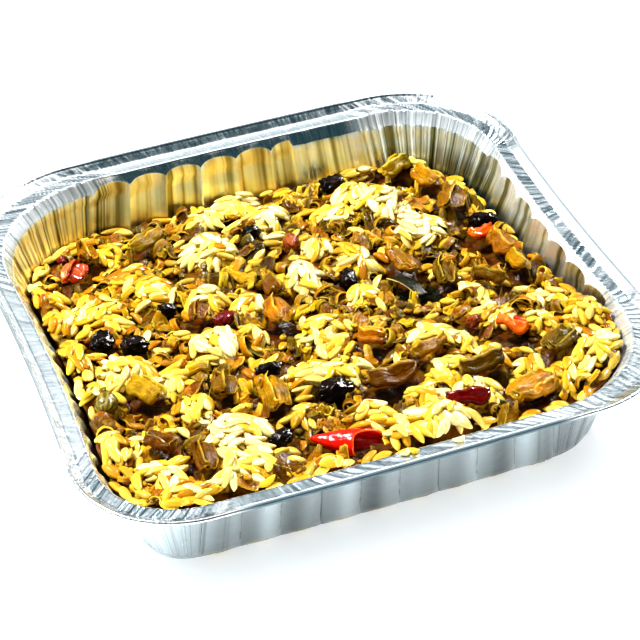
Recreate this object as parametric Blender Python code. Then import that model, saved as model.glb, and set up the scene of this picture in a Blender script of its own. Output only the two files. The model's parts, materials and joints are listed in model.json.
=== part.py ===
"""A takeaway foil tray of yellow rice with raisins, red pepper and soft-cooked onion.

Metres, +Z up. The tray stands on its base, centred on the origin, with its long front
edge along +X and its back edge towards +Y. The sizes below are in millimetres and are
turned into metres where a mesh is made. Corners are listed from the back right one
round to the back left, the front left and the front right.
"""
import math
import random

import bmesh
import bpy
from mathutils import Matrix, Vector, noise
from mathutils.bvhtree import BVHTree

MM = 0.001

# Tray, measured over its rolled bead. An inset is a distance in from the bead's outer line.
TRAY_LENGTH = 220.0
TRAY_WIDTH = 208.0
TRAY_HEIGHT = 40.0
FOIL = 0.6
BEAD_RADII = (48.0, 50.0, 40.0, 45.0)
WALL_RADII = (36.0, 46.0, 28.0, 45.0)
BASE_RADIUS_SHARE = 0.55
END_BOW = -4.3
FRONT_BOW = 1.4

# Cross-section: rolled bead, upturned lip, flat flange, sloping shoulder, wall, base.
BEAD_ROLL = 0.9
LIP_INSET = 4.4
SHOULDER_INSET = 9.0
WALL_INSET = 11.7
FLUTE_INSET = 12.9
BASE_INSET = 25.0
FLANGE_TOP = 37.0
WALL_TOP = 36.2
FLUTE_TOP = 32.0

# Flutes are the outward curves pressed into the walls, counted on each side.
SIDE_FLUTES = (8, 11, 9, 7)
FLUTE_DEPTH = 1.7
FLUTE_STEPS = 3
CORNER_STEPS = 8
CORNER_PLEAT = 0.35

# Rice heap: low along the back wall, up to the rim at the front and the front right.
HEAP_GAP = 0.6
HEAP_SIDE_STEPS = (10, 10, 10, 10)
HEAP_CORNER_STEPS = 6
HEAP_RINGS = (0.93, 0.82, 0.70, 0.57, 0.43, 0.28, 0.14)
HEAP_LEVEL = 25.0
HEAP_SLOPE = -0.085
HEAP_DOME = 3.0
HEAP_HIGHEST_EDGE = 34.0
HEAP_LOWEST_EDGE = 14.0
BUMP = 2.4
BUMP_SIZE = 9.0
# Clumps and hollows: place, height and spread.
CLUMPS = (
    (92.0, -58.0, 5.0, 20.0), (52.0, 5.0, -5.0, 15.0), (45.0, 58.0, 4.5, 15.0),
    (-8.0, 66.0, 3.5, 12.0), (-24.0, 49.0, 4.0, 12.0), (14.0, 40.0, 2.5, 12.0),
    (-72.0, -4.0, 3.5, 11.0), (-34.0, -6.0, 3.5, 12.0), (-52.0, -60.0, 3.0, 13.0),
    (60.0, -14.0, 3.0, 11.0), (16.0, -24.0, 2.5, 12.0), (14.0, -80.0, 2.5, 13.0),
    (-55.0, 40.0, 2.0, 12.0), (80.0, 66.0, -3.0, 12.0), (-68.0, 22.0, -2.0, 9.0),
)

# Rice grains that show on the heap.
GRAIN_LENGTH = 9.0
GRAIN_WIDTH = 3.0
GRAIN_PITCH = 11.5
GRAIN_SUNK = 0.45
GRAIN_GAP = 0.5
GRAIN_LIMIT = 90
SEAT_GAP = 0.4
PIECE_GAP = 0.3

# Rounded toppings: name, place on the heap, length, width, height, turn in degrees, kind.
ROUND_TOPPINGS = (
    ("raisin_01", 38.5, 76.5, 11.0, 8.0, 7.0, 10.0, "raisin"),
    ("raisin_02", 81.0, 29.5, 12.0, 8.0, 7.0, -15.0, "raisin"),
    ("raisin_03", 20.0, 12.0, 12.0, 7.0, 6.5, 80.0, "raisin"),
    ("raisin_04", -47.5, 20.0, 7.5, 6.5, 6.0, 0.0, "raisin"),
    ("raisin_05", -74.0, 12.0, 12.0, 9.0, 7.0, 60.0, "raisin"),
    ("raisin_06", -65.0, 1.5, 11.0, 8.0, 7.0, -25.0, "raisin"),
    ("raisin_07", -9.5, -52.0, 14.0, 10.0, 8.0, 5.0, "raisin"),
    ("raisin_08", -26.0, -31.5, 10.5, 5.5, 5.0, -5.0, "raisin"),
    ("raisin_09", -35.5, -70.5, 9.5, 7.0, 6.0, 20.0, "raisin"),
    ("raisin_10", 8.5, 41.0, 8.5, 6.5, 6.0, 75.0, "sultana"),
    ("raisin_11", 50.0, -34.0, 7.0, 5.0, 5.0, 20.0, "sultana"),
    ("raisin_12", -3.0, 54.5, 8.0, 5.5, 5.0, 0.0, "raisin"),
    ("caper", -83.5, -26.0, 10.0, 8.5, 8.0, 70.0, "caper"),
    ("pepper_bit_01", -31.0, 3.5, 9.0, 6.5, 5.0, 15.0, "pepper"),
    ("pepper_bit_02", -72.0, 74.0, 5.5, 4.0, 4.0, 80.0, "pepper"),
)

# Flat toppings, draped on the heap: name, place, length, width, thickness, arch, turn, kind.
FLAT_TOPPINGS = (
    ("pepper_roll", -15.7, -79.6, 25.0, 11.5, 2.2, 3.6, -31.0, "pepper"),
    ("pepper_bit_03", -71.0, 57.5, 13.0, 8.0, 1.6, 2.5, 50.0, "pepper"),
    ("pepper_bit_04", 28.5, -79.0, 15.0, 6.5, 1.8, 2.5, -8.0, "pepper"),
    ("pepper_bit_05", 60.5, -45.5, 13.0, 5.5, 1.5, 2.0, -60.0, "pepper"),
    ("pepper_bit_06", 76.5, 20.5, 9.0, 5.0, 1.5, 1.8, 5.0, "pepper"),
    ("onion_01", -41.0, 68.0, 16.0, 7.0, 1.0, 3.0, 28.0, "onion"),
    ("onion_02", -62.0, 70.0, 13.0, 5.5, 1.0, 2.5, 84.0, "onion"),
    ("onion_03", -38.0, 9.5, 10.0, 6.0, 1.0, 2.5, 72.0, "onion"),
    ("onion_04", -7.0, 14.0, 12.0, 6.5, 1.0, 2.5, 90.0, "onion"),
    ("onion_05", -12.0, -3.0, 15.0, 8.0, 1.0, 3.5, 89.0, "onion"),
    ("onion_06", 65.0, 79.0, 16.0, 7.0, 1.0, 3.0, 35.0, "onion"),
    ("onion_07", 75.0, 67.0, 14.0, 9.0, 1.0, 2.5, -70.0, "onion"),
    ("onion_08", 77.0, 47.0, 19.0, 9.0, 1.0, 3.5, 62.0, "onion"),
    ("onion_09", 44.0, 15.0, 15.0, 8.0, 1.0, 3.5, -69.0, "onion"),
    ("onion_10", 54.0, 1.0, 20.0, 6.5, 1.0, 2.5, 71.0, "onion"),
    ("onion_11", 81.5, 9.0, 15.0, 9.5, 1.0, 3.5, -78.0, "onion"),
    ("onion_12", 80.0, -7.0, 13.0, 6.0, 1.0, 2.5, 86.0, "onion"),
    ("onion_13", 67.0, -11.0, 16.0, 6.5, 1.0, 3.0, -66.0, "onion"),
    ("onion_14", -69.0, -27.0, 15.0, 9.0, 1.0, 3.5, -65.0, "onion"),
    ("onion_15", -72.0, -56.0, 12.0, 8.0, 1.0, 3.0, -57.0, "onion"),
    ("onion_16", -62.0, -72.0, 14.0, 6.5, 1.0, 3.0, 87.0, "onion"),
    ("onion_17", -29.0, -47.5, 18.0, 10.0, 1.0, 4.0, 88.0, "onion"),
    ("onion_18", -43.0, -36.0, 12.0, 7.5, 1.0, 2.5, 74.0, "onion"),
    ("onion_19", 10.0, -55.0, 18.0, 11.0, 1.0, 4.5, -4.0, "onion"),
    ("onion_20", 28.0, -44.0, 16.0, 6.0, 1.0, 2.5, 19.0, "onion"),
    ("onion_21", 41.0, -60.0, 17.0, 8.0, 1.0, 3.0, 9.0, "onion"),
    ("onion_22", 51.0, -79.5, 20.0, 9.5, 1.0, 3.5, 20.0, "onion"),
    ("onion_23", 70.0, -61.0, 13.0, 8.5, 1.0, 3.0, 21.0, "onion"),
    ("onion_24", 12.0, -33.0, 10.0, 7.0, 1.0, 2.5, -40.0, "onion"),
)
FLAT_STEPS_ALONG = 4
FLAT_STEPS_ACROSS = 2

# Colour, roughness and metallic value of each kind of piece.
FINISHES = {
    "foil": ((0.72, 0.74, 0.76), 0.28, 1.0),
    "rice": ((0.86, 0.66, 0.12), 0.45, 0.0),
    "raisin": ((0.02, 0.015, 0.012), 0.25, 0.0),
    "sultana": ((0.20, 0.05, 0.01), 0.25, 0.0),
    "caper": ((0.22, 0.17, 0.03), 0.25, 0.0),
    "pepper": ((0.72, 0.03, 0.01), 0.25, 0.0),
    "onion": ((0.33, 0.20, 0.04), 0.25, 0.0),
}


def clear_scene():
    """Removes every object, so that the script can be run again in the same file."""
    for old in list(bpy.data.objects):
        bpy.data.objects.remove(old, do_unlink=True)


def blend(first, second, share):
    """The value that lies the given share of the way from the first to the second."""
    return first + (second - first) * share


def make_material(kind):
    """A plain Principled material for one kind of piece."""
    colour, roughness, metallic = FINISHES[kind]
    material = bpy.data.materials.new(kind)
    material.use_nodes = True
    shader = material.node_tree.nodes["Principled BSDF"]
    shader.inputs["Base Color"].default_value = (*colour, 1.0)
    shader.inputs["Roughness"].default_value = roughness
    shader.inputs["Metallic"].default_value = metallic
    return material


def make_object(name, mesh_data, material, parent, place=Vector((0.0, 0.0, 0.0))):
    """An object from a bmesh in millimetres, set down at a place in millimetres."""
    bmesh.ops.scale(mesh_data, vec=(MM, MM, MM), verts=mesh_data.verts)
    bmesh.ops.recalc_face_normals(mesh_data, faces=mesh_data.faces)
    mesh = bpy.data.meshes.new(name)
    mesh_data.to_mesh(mesh)
    mesh_data.free()
    piece = bpy.data.objects.new(name, mesh)
    piece.location = place * MM
    piece.data.materials.append(material)
    bpy.context.scene.collection.objects.link(piece)
    piece.parent = parent
    return piece


def world_tree(piece, grow=0.0):
    """A search tree of a piece's surface in metres, with its points pushed out by grow mm."""
    bpy.context.view_layer.update()
    points = [piece.matrix_world @ (v.co + v.normal * grow * MM) for v in piece.data.vertices]
    faces = [tuple(face.vertices) for face in piece.data.polygons]
    return BVHTree.FromPolygons(points, faces)


def corner_radius(corner, inset):
    """Radius of a corner at an inset: straight changes from bead to wall top to base."""
    if inset <= WALL_INSET:
        return blend(BEAD_RADII[corner], WALL_RADII[corner], inset / WALL_INSET)
    share = (inset - WALL_INSET) / (BASE_INSET - WALL_INSET)
    return WALL_RADII[corner] * blend(1.0, BASE_RADIUS_SHARE, share)


def bowed(x, y, half_length, half_width):
    """Moves a point of the outline as the sides bow: the ends inwards, the front and back out."""
    across = min(1.0, abs(x) / half_length)
    along = min(1.0, abs(y) / half_width)
    move_x = END_BOW * math.cos(along * math.pi / 2) * across ** 4
    move_y = FRONT_BOW * math.cos(across * math.pi / 2) * along ** 4
    return x + math.copysign(1.0, x) * move_x, y + math.copysign(1.0, y) * move_y


def ring(inset, z, side_steps, corner_steps, flute_steps=0, flute=0.0, pleat=0.0):
    """A closed loop of points around the tray at one inset and height.

    side_steps gives the straight steps on the back, the left, the front and the right.
    With flutes, each side bulges outwards once every flute_steps points.
    """
    half_length = TRAY_LENGTH / 2 - inset
    half_width = TRAY_WIDTH / 2 - inset
    arcs = []
    for corner, (sign_x, sign_y) in enumerate(((1, 1), (-1, 1), (-1, -1), (1, -1))):
        radius = corner_radius(corner, inset)
        arc = []
        for step in range(corner_steps + 1):
            angle = math.radians(90.0 * (corner + step / corner_steps))
            out = pleat if step % 2 else 0.0
            x = sign_x * (half_length - radius) + (radius + out) * math.cos(angle)
            y = sign_y * (half_width - radius) + (radius + out) * math.sin(angle)
            arc.append((x, y))
        arcs.append(arc)
    loop = []
    for corner, arc in enumerate(arcs):
        loop.extend(arc)
        start = arc[-1]
        end = arcs[(corner + 1) % 4][0]
        out_x = (0.0, -1.0, 0.0, 1.0)[corner]
        out_y = (1.0, 0.0, -1.0, 0.0)[corner]
        for step in range(1, side_steps[corner]):
            share = step / side_steps[corner]
            swell = 0.0
            if flute_steps:
                swell = flute * math.sin(math.pi * (step % flute_steps) / flute_steps)
            x = blend(start[0], end[0], share) + out_x * swell
            y = blend(start[1], end[1], share) + out_y * swell
            loop.append((x, y))
    return [Vector((*bowed(x, y, half_length, half_width), z)) for x, y in loop]


def loft(loops):
    """Joins closed loops of equal length into one closed skin, with flat ends."""
    mesh_data = bmesh.new()
    rows = [[mesh_data.verts.new(point) for point in loop] for loop in loops]
    for low, high in zip(rows, rows[1:]):
        for index in range(len(low)):
            after = (index + 1) % len(low)
            mesh_data.faces.new((low[index], low[after], high[after], high[index]))
    mesh_data.faces.new(rows[0])
    mesh_data.faces.new(rows[-1])
    return mesh_data


def make_tray(material, parent):
    """The foil tray: one thin skin, up the outside, over the bead and down the inside."""
    sides = [count * FLUTE_STEPS for count in SIDE_FLUTES]

    def tray_ring(inset, z, flute=0.0, pleat=0.0):
        return ring(inset, z, sides, CORNER_STEPS, FLUTE_STEPS, flute, pleat)

    under = FOIL * 1.1
    loops = [
        tray_ring(BASE_INSET - 0.3, 0.0),
        tray_ring(FLUTE_INSET - under, FLUTE_TOP - 0.3, FLUTE_DEPTH, CORNER_PLEAT),
        tray_ring(WALL_INSET - under, WALL_TOP - FOIL),
        tray_ring(SHOULDER_INSET, FLANGE_TOP - FOIL),
        tray_ring(LIP_INSET, FLANGE_TOP - FOIL),
        tray_ring(BEAD_ROLL, TRAY_HEIGHT - 2 * BEAD_ROLL, 0.0, 0.1),
        tray_ring(0.0, TRAY_HEIGHT - BEAD_ROLL),
        tray_ring(BEAD_ROLL, TRAY_HEIGHT),
        tray_ring(LIP_INSET + 0.2, FLANGE_TOP),
        tray_ring(SHOULDER_INSET, FLANGE_TOP),
        tray_ring(WALL_INSET, WALL_TOP),
        tray_ring(FLUTE_INSET, FLUTE_TOP, FLUTE_DEPTH, CORNER_PLEAT),
        tray_ring(BASE_INSET + 0.3, FOIL),
    ]
    return make_object("foil_tray", loft(loops), material, parent)


def wall_inset(z):
    """Inset of the wall's inner face at a height, at the inward edges of its flutes."""
    if z > FLUTE_TOP:
        return blend(FLUTE_INSET, WALL_INSET, (z - FLUTE_TOP) / (WALL_TOP - FLUTE_TOP))
    return blend(BASE_INSET + 0.3, FLUTE_INSET, (z - FOIL) / (FLUTE_TOP - FOIL))


def heap_height(x, y):
    """Height of the bare heap: a slope, a low dome, clumps and hollows, and small bumps."""
    dome = (1.0 - (x / 92.0) ** 2) * (1.0 - (y / 90.0) ** 2)
    z = HEAP_LEVEL + HEAP_SLOPE * y + HEAP_DOME * dome
    for clump_x, clump_y, height, spread in CLUMPS:
        away = ((x - clump_x) ** 2 + (y - clump_y) ** 2) / (2.0 * spread ** 2)
        z += height * math.exp(-away)
    return z + BUMP * noise.noise(Vector((x, y, 0.0)) / BUMP_SIZE)


def heap_edge():
    """The loop where the heap meets the wall, each point at its own height."""
    top = ring(wall_inset(HEAP_LEVEL), 0.0, HEAP_SIDE_STEPS, HEAP_CORNER_STEPS)
    edge = []
    for index, point in enumerate(top):
        z = min(max(heap_height(point.x, point.y), HEAP_LOWEST_EDGE), HEAP_HIGHEST_EDGE)
        inset = wall_inset(z) + HEAP_GAP
        place = ring(inset, z, HEAP_SIDE_STEPS, HEAP_CORNER_STEPS)[index]
        edge.append(place)
    return edge


def make_core(material, parent):
    """The bare heap: a closed solid that fills the tray up to heap_height."""
    foot = FOIL + 0.4
    bottom = ring(wall_inset(foot) + HEAP_GAP, foot, HEAP_SIDE_STEPS, HEAP_CORNER_STEPS)
    edge = heap_edge()
    loops = [bottom, edge]
    for share in HEAP_RINGS:
        loops.append([Vector((p.x * share, p.y * share, heap_height(p.x * share, p.y * share)))
                      for p in edge])
    mesh_data = loft(loops)
    bmesh.ops.triangulate(mesh_data, faces=mesh_data.faces)
    return make_object("rice_heap", mesh_data, material, parent)


def drop_point(tree, x, y, reach=0.0):
    """Height in mm of a surface at a place, or the highest of five places reach mm apart."""
    heights = []
    for side_x, side_y in ((0, 0), (1, 0), (-1, 0), (0, 1), (0, -1)):
        start = Vector((x + side_x * reach, y + side_y * reach, 100.0)) * MM
        hit = tree.ray_cast(start, Vector((0.0, 0.0, -1.0)))[0]
        if hit is not None:
            heights.append(hit.z / MM)
    return max(heights) if heights else HEAP_LEVEL


def rounded_body(length, width, height, seed):
    """A wrinkled berry shape with few sides, centred on its own origin."""
    body = bmesh.new()
    bmesh.ops.create_icosphere(body, subdivisions=2, radius=0.5)
    bmesh.ops.dissolve_degenerate(body, edges=body.edges, dist=0.001)
    for vert in body.verts:
        dent = 1.0 + 0.16 * noise.noise(vert.co * 4.0 + Vector((seed * 3.7, 0.0, 0.0)))
        vert.co *= dent
        vert.co.x *= length
        vert.co.y *= width
        vert.co.z *= height
    return body


def make_round_topping(row, seed, core_tree, materials, parent):
    """A berry or lump that sits a little under half sunk in the heap."""
    name, x, y, length, width, height, turn, kind = row
    z = drop_point(core_tree, x, y) + height * 0.12
    body = rounded_body(length, width, height, seed)
    bmesh.ops.rotate(body, verts=body.verts, matrix=Matrix.Rotation(math.radians(turn), 3, "Z"))
    return make_object(name, body, materials[kind], parent, Vector((x, y, z)))


def flat_body(row, scale, lift, core_tree):
    """A thin wavy leaf of even thickness, draped on the heap and arched along its length."""
    x, y, length, width, thickness, arch, turn = row[1:8]
    length *= scale
    width *= scale
    direction = Matrix.Rotation(math.radians(turn), 2)
    body = bmesh.new()
    sheets = []
    centre_z = drop_point(core_tree, x, y)
    lower = []
    for i in range(FLAT_STEPS_ALONG + 1):
        u = 2.0 * i / FLAT_STEPS_ALONG - 1.0
        half = width / 2 * (1.0 - 0.45 * u * u) * (1.0 + 0.12 * math.sin(3.1 * u + x))
        for j in range(FLAT_STEPS_ACROSS + 1):
            v = 2.0 * j / FLAT_STEPS_ACROSS - 1.0
            flat = direction @ Vector((u * length / 2, v * half + 0.08 * width * math.sin(2.4 * u + y)))
            ground = drop_point(core_tree, x + flat.x, y + flat.y, 1.3)
            rise = arch * scale * (1.0 - v * v) * (1.0 - 0.35 * u * u)
            lower.append(Vector((flat.x, flat.y, ground - centre_z + 0.5 + lift + rise)))
    for offset in (0.0, thickness):
        sheets.append([body.verts.new(point + Vector((0.0, 0.0, offset))) for point in lower])
    columns = FLAT_STEPS_ACROSS + 1
    for i in range(FLAT_STEPS_ALONG):
        for j in range(FLAT_STEPS_ACROSS):
            a = i * columns + j
            corners = (a, a + columns, a + columns + 1, a + 1)
            for sheet in sheets:
                body.faces.new([sheet[corners[k]] for k in (0, 1, 2)])
                body.faces.new([sheet[corners[k]] for k in (0, 2, 3)])
    rim = [j for j in range(columns)]
    rim += [i * columns + columns - 1 for i in range(1, FLAT_STEPS_ALONG + 1)]
    rim += [FLAT_STEPS_ALONG * columns + j for j in reversed(range(columns - 1))]
    rim += [i * columns for i in reversed(range(1, FLAT_STEPS_ALONG))]
    for a, b in zip(rim, rim[1:] + rim[:1]):
        body.faces.new((sheets[0][a], sheets[0][b], sheets[1][b]))
        body.faces.new((sheets[0][a], sheets[1][b], sheets[1][a]))
    return body, Vector((x, y, centre_z))


def touches(tree, others):
    """True if the surface crosses any of the others."""
    return any(tree.overlap(other) for other in others)


def make_flat_topping(row, core_tree, others, materials, parent):
    """Drapes a leaf on the heap, lifted or shortened until it is clear of everything."""
    for scale in (1.0, 0.92, 0.84, 0.76, 0.68):
        for lift in (0.0, 0.5, 1.0, 1.5):
            body, place = flat_body(row, scale, lift, core_tree)
            piece = make_object(row[0], body, materials[row[8]], parent, place)
            if not touches(world_tree(piece, PIECE_GAP), others):
                return piece
            bpy.data.objects.remove(piece, do_unlink=True)
    return None


def grain_mesh():
    """A rice grain along X with few sides: five around and four along."""
    body = bmesh.new()
    bmesh.ops.create_uvsphere(body, u_segments=5, v_segments=4, radius=0.5)
    bmesh.ops.rotate(body, verts=body.verts, matrix=Matrix.Rotation(math.radians(90), 3, "Y"))
    bmesh.ops.scale(body, verts=body.verts, vec=(GRAIN_LENGTH, GRAIN_WIDTH, GRAIN_WIDTH))
    bmesh.ops.triangulate(body, faces=body.faces)
    bmesh.ops.scale(body, verts=body.verts, vec=(MM, MM, MM))
    bmesh.ops.recalc_face_normals(body, faces=body.faces)
    mesh = bpy.data.meshes.new("grain")
    body.to_mesh(mesh)
    body.free()
    return mesh


def grain_places(core_tree, rng):
    """Evenly spread places for grains, each with its tilt on the heap."""
    count_x = int(TRAY_LENGTH / GRAIN_PITCH)
    count_y = int(TRAY_WIDTH / GRAIN_PITCH)
    places = []
    for column in range(count_x):
        for row in range(count_y):
            x = (column - count_x / 2 + 0.5 + rng.uniform(-0.35, 0.35)) * GRAIN_PITCH
            y = (row - count_y / 2 + 0.5 + rng.uniform(-0.35, 0.35)) * GRAIN_PITCH
            start = Vector((x, y, 100.0)) * MM
            hit, normal = core_tree.ray_cast(start, Vector((0.0, 0.0, -1.0)))[:2]
            turn = rng.uniform(0.0, math.pi)
            tilt = rng.uniform(-0.35, 0.35)
            if hit is None or normal.z < 0.5:
                continue
            upright = normal.to_track_quat("Z", "Y").to_matrix().to_4x4()
            spin = Matrix.Rotation(turn, 4, "Z") @ Matrix.Rotation(tilt, 4, "Y")
            centre = hit + normal * (GRAIN_WIDTH * (0.5 - GRAIN_SUNK)) * MM
            places.append(Matrix.Translation(centre) @ upright @ spin)
    rng.shuffle(places)
    return places


def fuse(base, operation, helpers):
    """Applies one Boolean on a collection of helpers, then removes them."""
    group = bpy.data.collections.new("fusing")
    bpy.context.scene.collection.children.link(group)
    for helper in helpers:
        group.objects.link(helper)
    step = base.modifiers.new("fuse", "BOOLEAN")
    step.operation = operation
    step.operand_type = "COLLECTION"
    step.collection = group
    step.solver = "EXACT"
    bpy.context.view_layer.update()
    shape = base.evaluated_get(bpy.context.evaluated_depsgraph_get())
    fused = bpy.data.meshes.new_from_object(shape)
    base.modifiers.clear()
    base.data = fused
    for helper in helpers:
        bpy.data.objects.remove(helper, do_unlink=True)
    bpy.data.collections.remove(group)


def shell_volume(faces):
    """Signed volume of a set of triangles: below zero for a sealed hollow."""
    total = 0.0
    for face in faces:
        a, b, c = (vert.co for vert in face.verts)
        total += a.dot(b.cross(c)) / 6.0
    return total


def keep_main_shell(piece):
    """Drops loose scraps and fills sealed hollows, so that one closed skin is left."""
    body = bmesh.new()
    body.from_mesh(piece.data)
    bmesh.ops.triangulate(body, faces=body.faces)
    body.faces.ensure_lookup_table()
    unseen = set(body.faces)
    shells = []
    while unseen:
        stack = [unseen.pop()]
        shell = []
        while stack:
            face = stack.pop()
            shell.append(face)
            for edge in face.edges:
                for near in edge.link_faces:
                    if near in unseen:
                        unseen.remove(near)
                        stack.append(near)
        shells.append(shell)
    shells.sort(key=shell_volume, reverse=True)
    spare = [face for shell in shells[1:] for face in shell]
    bmesh.ops.delete(body, geom=spare, context="FACES")
    body.to_mesh(piece.data)
    body.free()


def seat_cutters(toppings):
    """Copies of the rounded toppings, a little larger, that cut their seats in the heap."""
    cutters = []
    for topping in toppings:
        cutter = topping.copy()
        cutter.data = topping.data.copy()
        cutter.name = "seat_" + topping.name
        for vert in cutter.data.vertices:
            vert.co += vert.normal * SEAT_GAP * MM
        cutter.hide_render = True
        cutter.display_type = "WIRE"
        cutters.append(cutter)
    return cutters


def add_grains(heap, core_tree, others):
    """Fuses rice grains on the heap wherever they are clear of the tray and toppings."""
    rng = random.Random(7)
    shape = grain_mesh()
    grains = []
    for place in grain_places(core_tree, rng):
        if len(grains) == GRAIN_LIMIT:
            break
        grain = bpy.data.objects.new(f"grain_{len(grains):03d}", shape)
        grain.matrix_world = place
        if touches(world_tree(grain, GRAIN_GAP), others):
            bpy.data.objects.remove(grain, do_unlink=True)
            continue
        grains.append(grain)
    fuse(heap, "UNION", grains)
    keep_main_shell(heap)


def main():
    clear_scene()
    materials = {kind: make_material(kind) for kind in FINISHES}
    meal = bpy.data.objects.new("meal", None)
    bpy.context.scene.collection.objects.link(meal)
    tray = make_tray(materials["foil"], meal)
    heap = make_core(materials["rice"], meal)
    core_tree = world_tree(heap)
    others = [world_tree(tray)]
    rounds = []
    for seed, row in enumerate(ROUND_TOPPINGS):
        topping = make_round_topping(row, seed, core_tree, materials, meal)
        rounds.append(topping)
        others.append(world_tree(topping))
    fuse(heap, "DIFFERENCE", seat_cutters(rounds))
    keep_main_shell(heap)
    for row in FLAT_TOPPINGS:
        piece = make_flat_topping(row, core_tree, others + [core_tree], materials, meal)
        if piece is not None:
            others.append(world_tree(piece))
    add_grains(heap, core_tree, others)


main()
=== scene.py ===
"""Foil tray meal, dressed: crinkled foil, loose yellow rice, raisins, red pepper and onion.

The sizes below are in millimetres, as in the CAD model, and are turned into metres where
a mesh is made. Corners are listed from the back right one round to the back left, the
front left and the front right. Nothing here moves or resizes a CAD part.
"""
import json
import math

import bpy
import numpy as np
from mathutils import Matrix, Vector, noise
from mathutils.bvhtree import BVHTree


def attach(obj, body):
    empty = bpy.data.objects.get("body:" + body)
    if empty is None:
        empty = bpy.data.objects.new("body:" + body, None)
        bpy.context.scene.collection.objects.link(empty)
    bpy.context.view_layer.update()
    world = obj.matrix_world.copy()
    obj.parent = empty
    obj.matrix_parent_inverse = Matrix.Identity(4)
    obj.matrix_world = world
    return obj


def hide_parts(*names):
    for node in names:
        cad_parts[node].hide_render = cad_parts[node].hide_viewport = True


MM = 0.001
SEED = 11

# Tray outline and cross-section, as in the CAD model.
TRAY_LENGTH = 220.0
TRAY_WIDTH = 208.0
TRAY_HEIGHT = 40.0
BEAD_RADII = (48.0, 50.0, 40.0, 45.0)
WALL_RADII = (36.0, 46.0, 28.0, 45.0)
BASE_RADIUS_SHARE = 0.55
END_BOW = -4.3
FRONT_BOW = 1.4
BEAD_ROLL = 0.9
BEAD_STEPS = 9
BEAD_START = 14.0
BEAD_TURN = 34.0
LIP_END = 2.0
LIP_INSET = 4.4
WALL_INSET = 11.7
FLUTE_INSET = 12.9
BASE_INSET = 25.0
FLANGE_TOP = 37.0
WALL_TOP = 36.2
FLUTE_TOP = 32.0
SKIN = 0.45
SIDE_FLUTES = (8, 11, 9, 7)
FLUTE_DEPTH = 2.4

# Folds of the rim on the back, left, front and right side, and at the corners, with the
# painted shade on the steep sides of the folds.
RIM_CREASE = (0.05, 0.08, 0.45, 0.9)
RIM_DENTS = (0.0, 0.4, 0.4, 0.5)
RIM_SHADE = (0.0, 0.12, 0.35, 1.05)
LIP_FOLDS = (0.1, 0.6, 0.9, 0.25)
CORNER_CREASE = 1.2
CORNER_DENTS = 0.3
CORNER_SHADE = 0.6
CORNER_LIP = 1.0
# How far crushed foil scatters light like a matt surface, and how much painted shade darkens
# the flange.
SHOULDER_MATT = (0.0, 0.3, 0.3, 0.7)
LIP_MATT = (0.0, 0.0, 0.6, 0.5)
FLANGE_PAINTED_SHADE = (0.0, 0.0, 0.42, 0.05)
# The lines of painted shade along the bead: which of its steps, and how dark.
BEAD_LINES = ((1, 2), (0, 3), (2, 3, 4, 5, 6, 7), (0, 1))
BEAD_LINE_SHADE = (0.65, 0.4, 0.85, 0.6)
# How often a sharp crease crosses the rim, at the corners and along the front. The dark
# cracks among them are painted shade.
CRACK_SHARE = 0.17
FRONT_CRACK_SHARE = 0.09

# Where the wall passes into the shoulder: inset and height between flutes and at a crown.
BREAK_BETWEEN = (12.7, 32.5)
BREAK_CROWN = (10.7, 34.7)
SHOULDER_END = (9.5, 36.9)
# Where the rows of the skin lie, from the base up inside and from the shoulder down outside.
INNER_LEVELS = (2.0, 6.0, 10.0, 13.0, 15.0, 17.0, 19.0, 21.0, 23.0, 25.0, 27.0, 28.5)
FLANGE_INSETS = (9.0, 8.4, 7.7, 7.0, 6.3, 5.6, 5.0)
OUTER_LEVELS = (28.5, 26.0, 23.0, 20.0, 17.0, 14.0, 11.0, 8.0, 5.5, 3.5)
COLUMNS_CORNER = 130
COLUMNS_SIDE = 195

# Colours of the foil: plain silver; the painted reflection of the food on the inside walls,
# golden, amber low down, paler on the right and bluish grey on the left; the painted
# bluish reflection outside; and the cast of painted shade.
SILVER = (0.90, 0.91, 0.92)
GOLD = (0.97, 0.93, 0.50)
LOW_AMBER = (0.95, 0.74, 0.36)
RIGHT_WALL = (0.86, 0.96, 0.92)
LEFT_WALL = (0.42, 0.54, 0.56)
OUTER_CAST = (0.90, 1.0, 1.03)
SHADE_CAST = (1.0, 0.93, 0.90)

# Heap of food, as in the CAD model, and the pile of loose rice on it.
HEAP_LEVEL = 25.0
HEAP_SLOPE = -0.085
HEAP_DOME = 3.0
HEAP_HIGHEST_EDGE = 34.0
FOOD_HALF = (92.0, 90.0)
BUMP = 2.4
BUMP_SIZE = 9.0
CLUMPS = (
    (92.0, -58.0, 5.0, 20.0), (52.0, 5.0, -5.0, 15.0), (45.0, 58.0, 4.5, 15.0),
    (-8.0, 66.0, 3.5, 12.0), (-24.0, 49.0, 4.0, 12.0), (14.0, 40.0, 2.5, 12.0),
    (-72.0, -4.0, 3.5, 11.0), (-34.0, -6.0, 3.5, 12.0), (-52.0, -60.0, 3.0, 13.0),
    (60.0, -14.0, 3.0, 11.0), (16.0, -24.0, 2.5, 12.0), (14.0, -80.0, 2.5, 13.0),
    (-55.0, 40.0, 2.0, 12.0), (80.0, 66.0, -3.0, 12.0), (-68.0, 22.0, -2.0, 9.0),
)
GRID = 0.7
GRID_HALF = 100.0
FAR = 1e6
CORE_RINGS = 96
GAP_DEPTH = 3.0
EDGE_ZONE = 7.0
EDGE_TRIES = 9000
CLUMP_RISE = 5.0
GRAIN_COVER = 1.6
GRAIN_LENGTH = 9.2
GRAIN_WIDTH = 3.3
GRAIN_HEIGHT = 2.4
LENGTH_RANGE = (0.66, 1.15)
GIRTH_RANGE = (0.85, 1.12)
STEEPEST = 0.9
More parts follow.
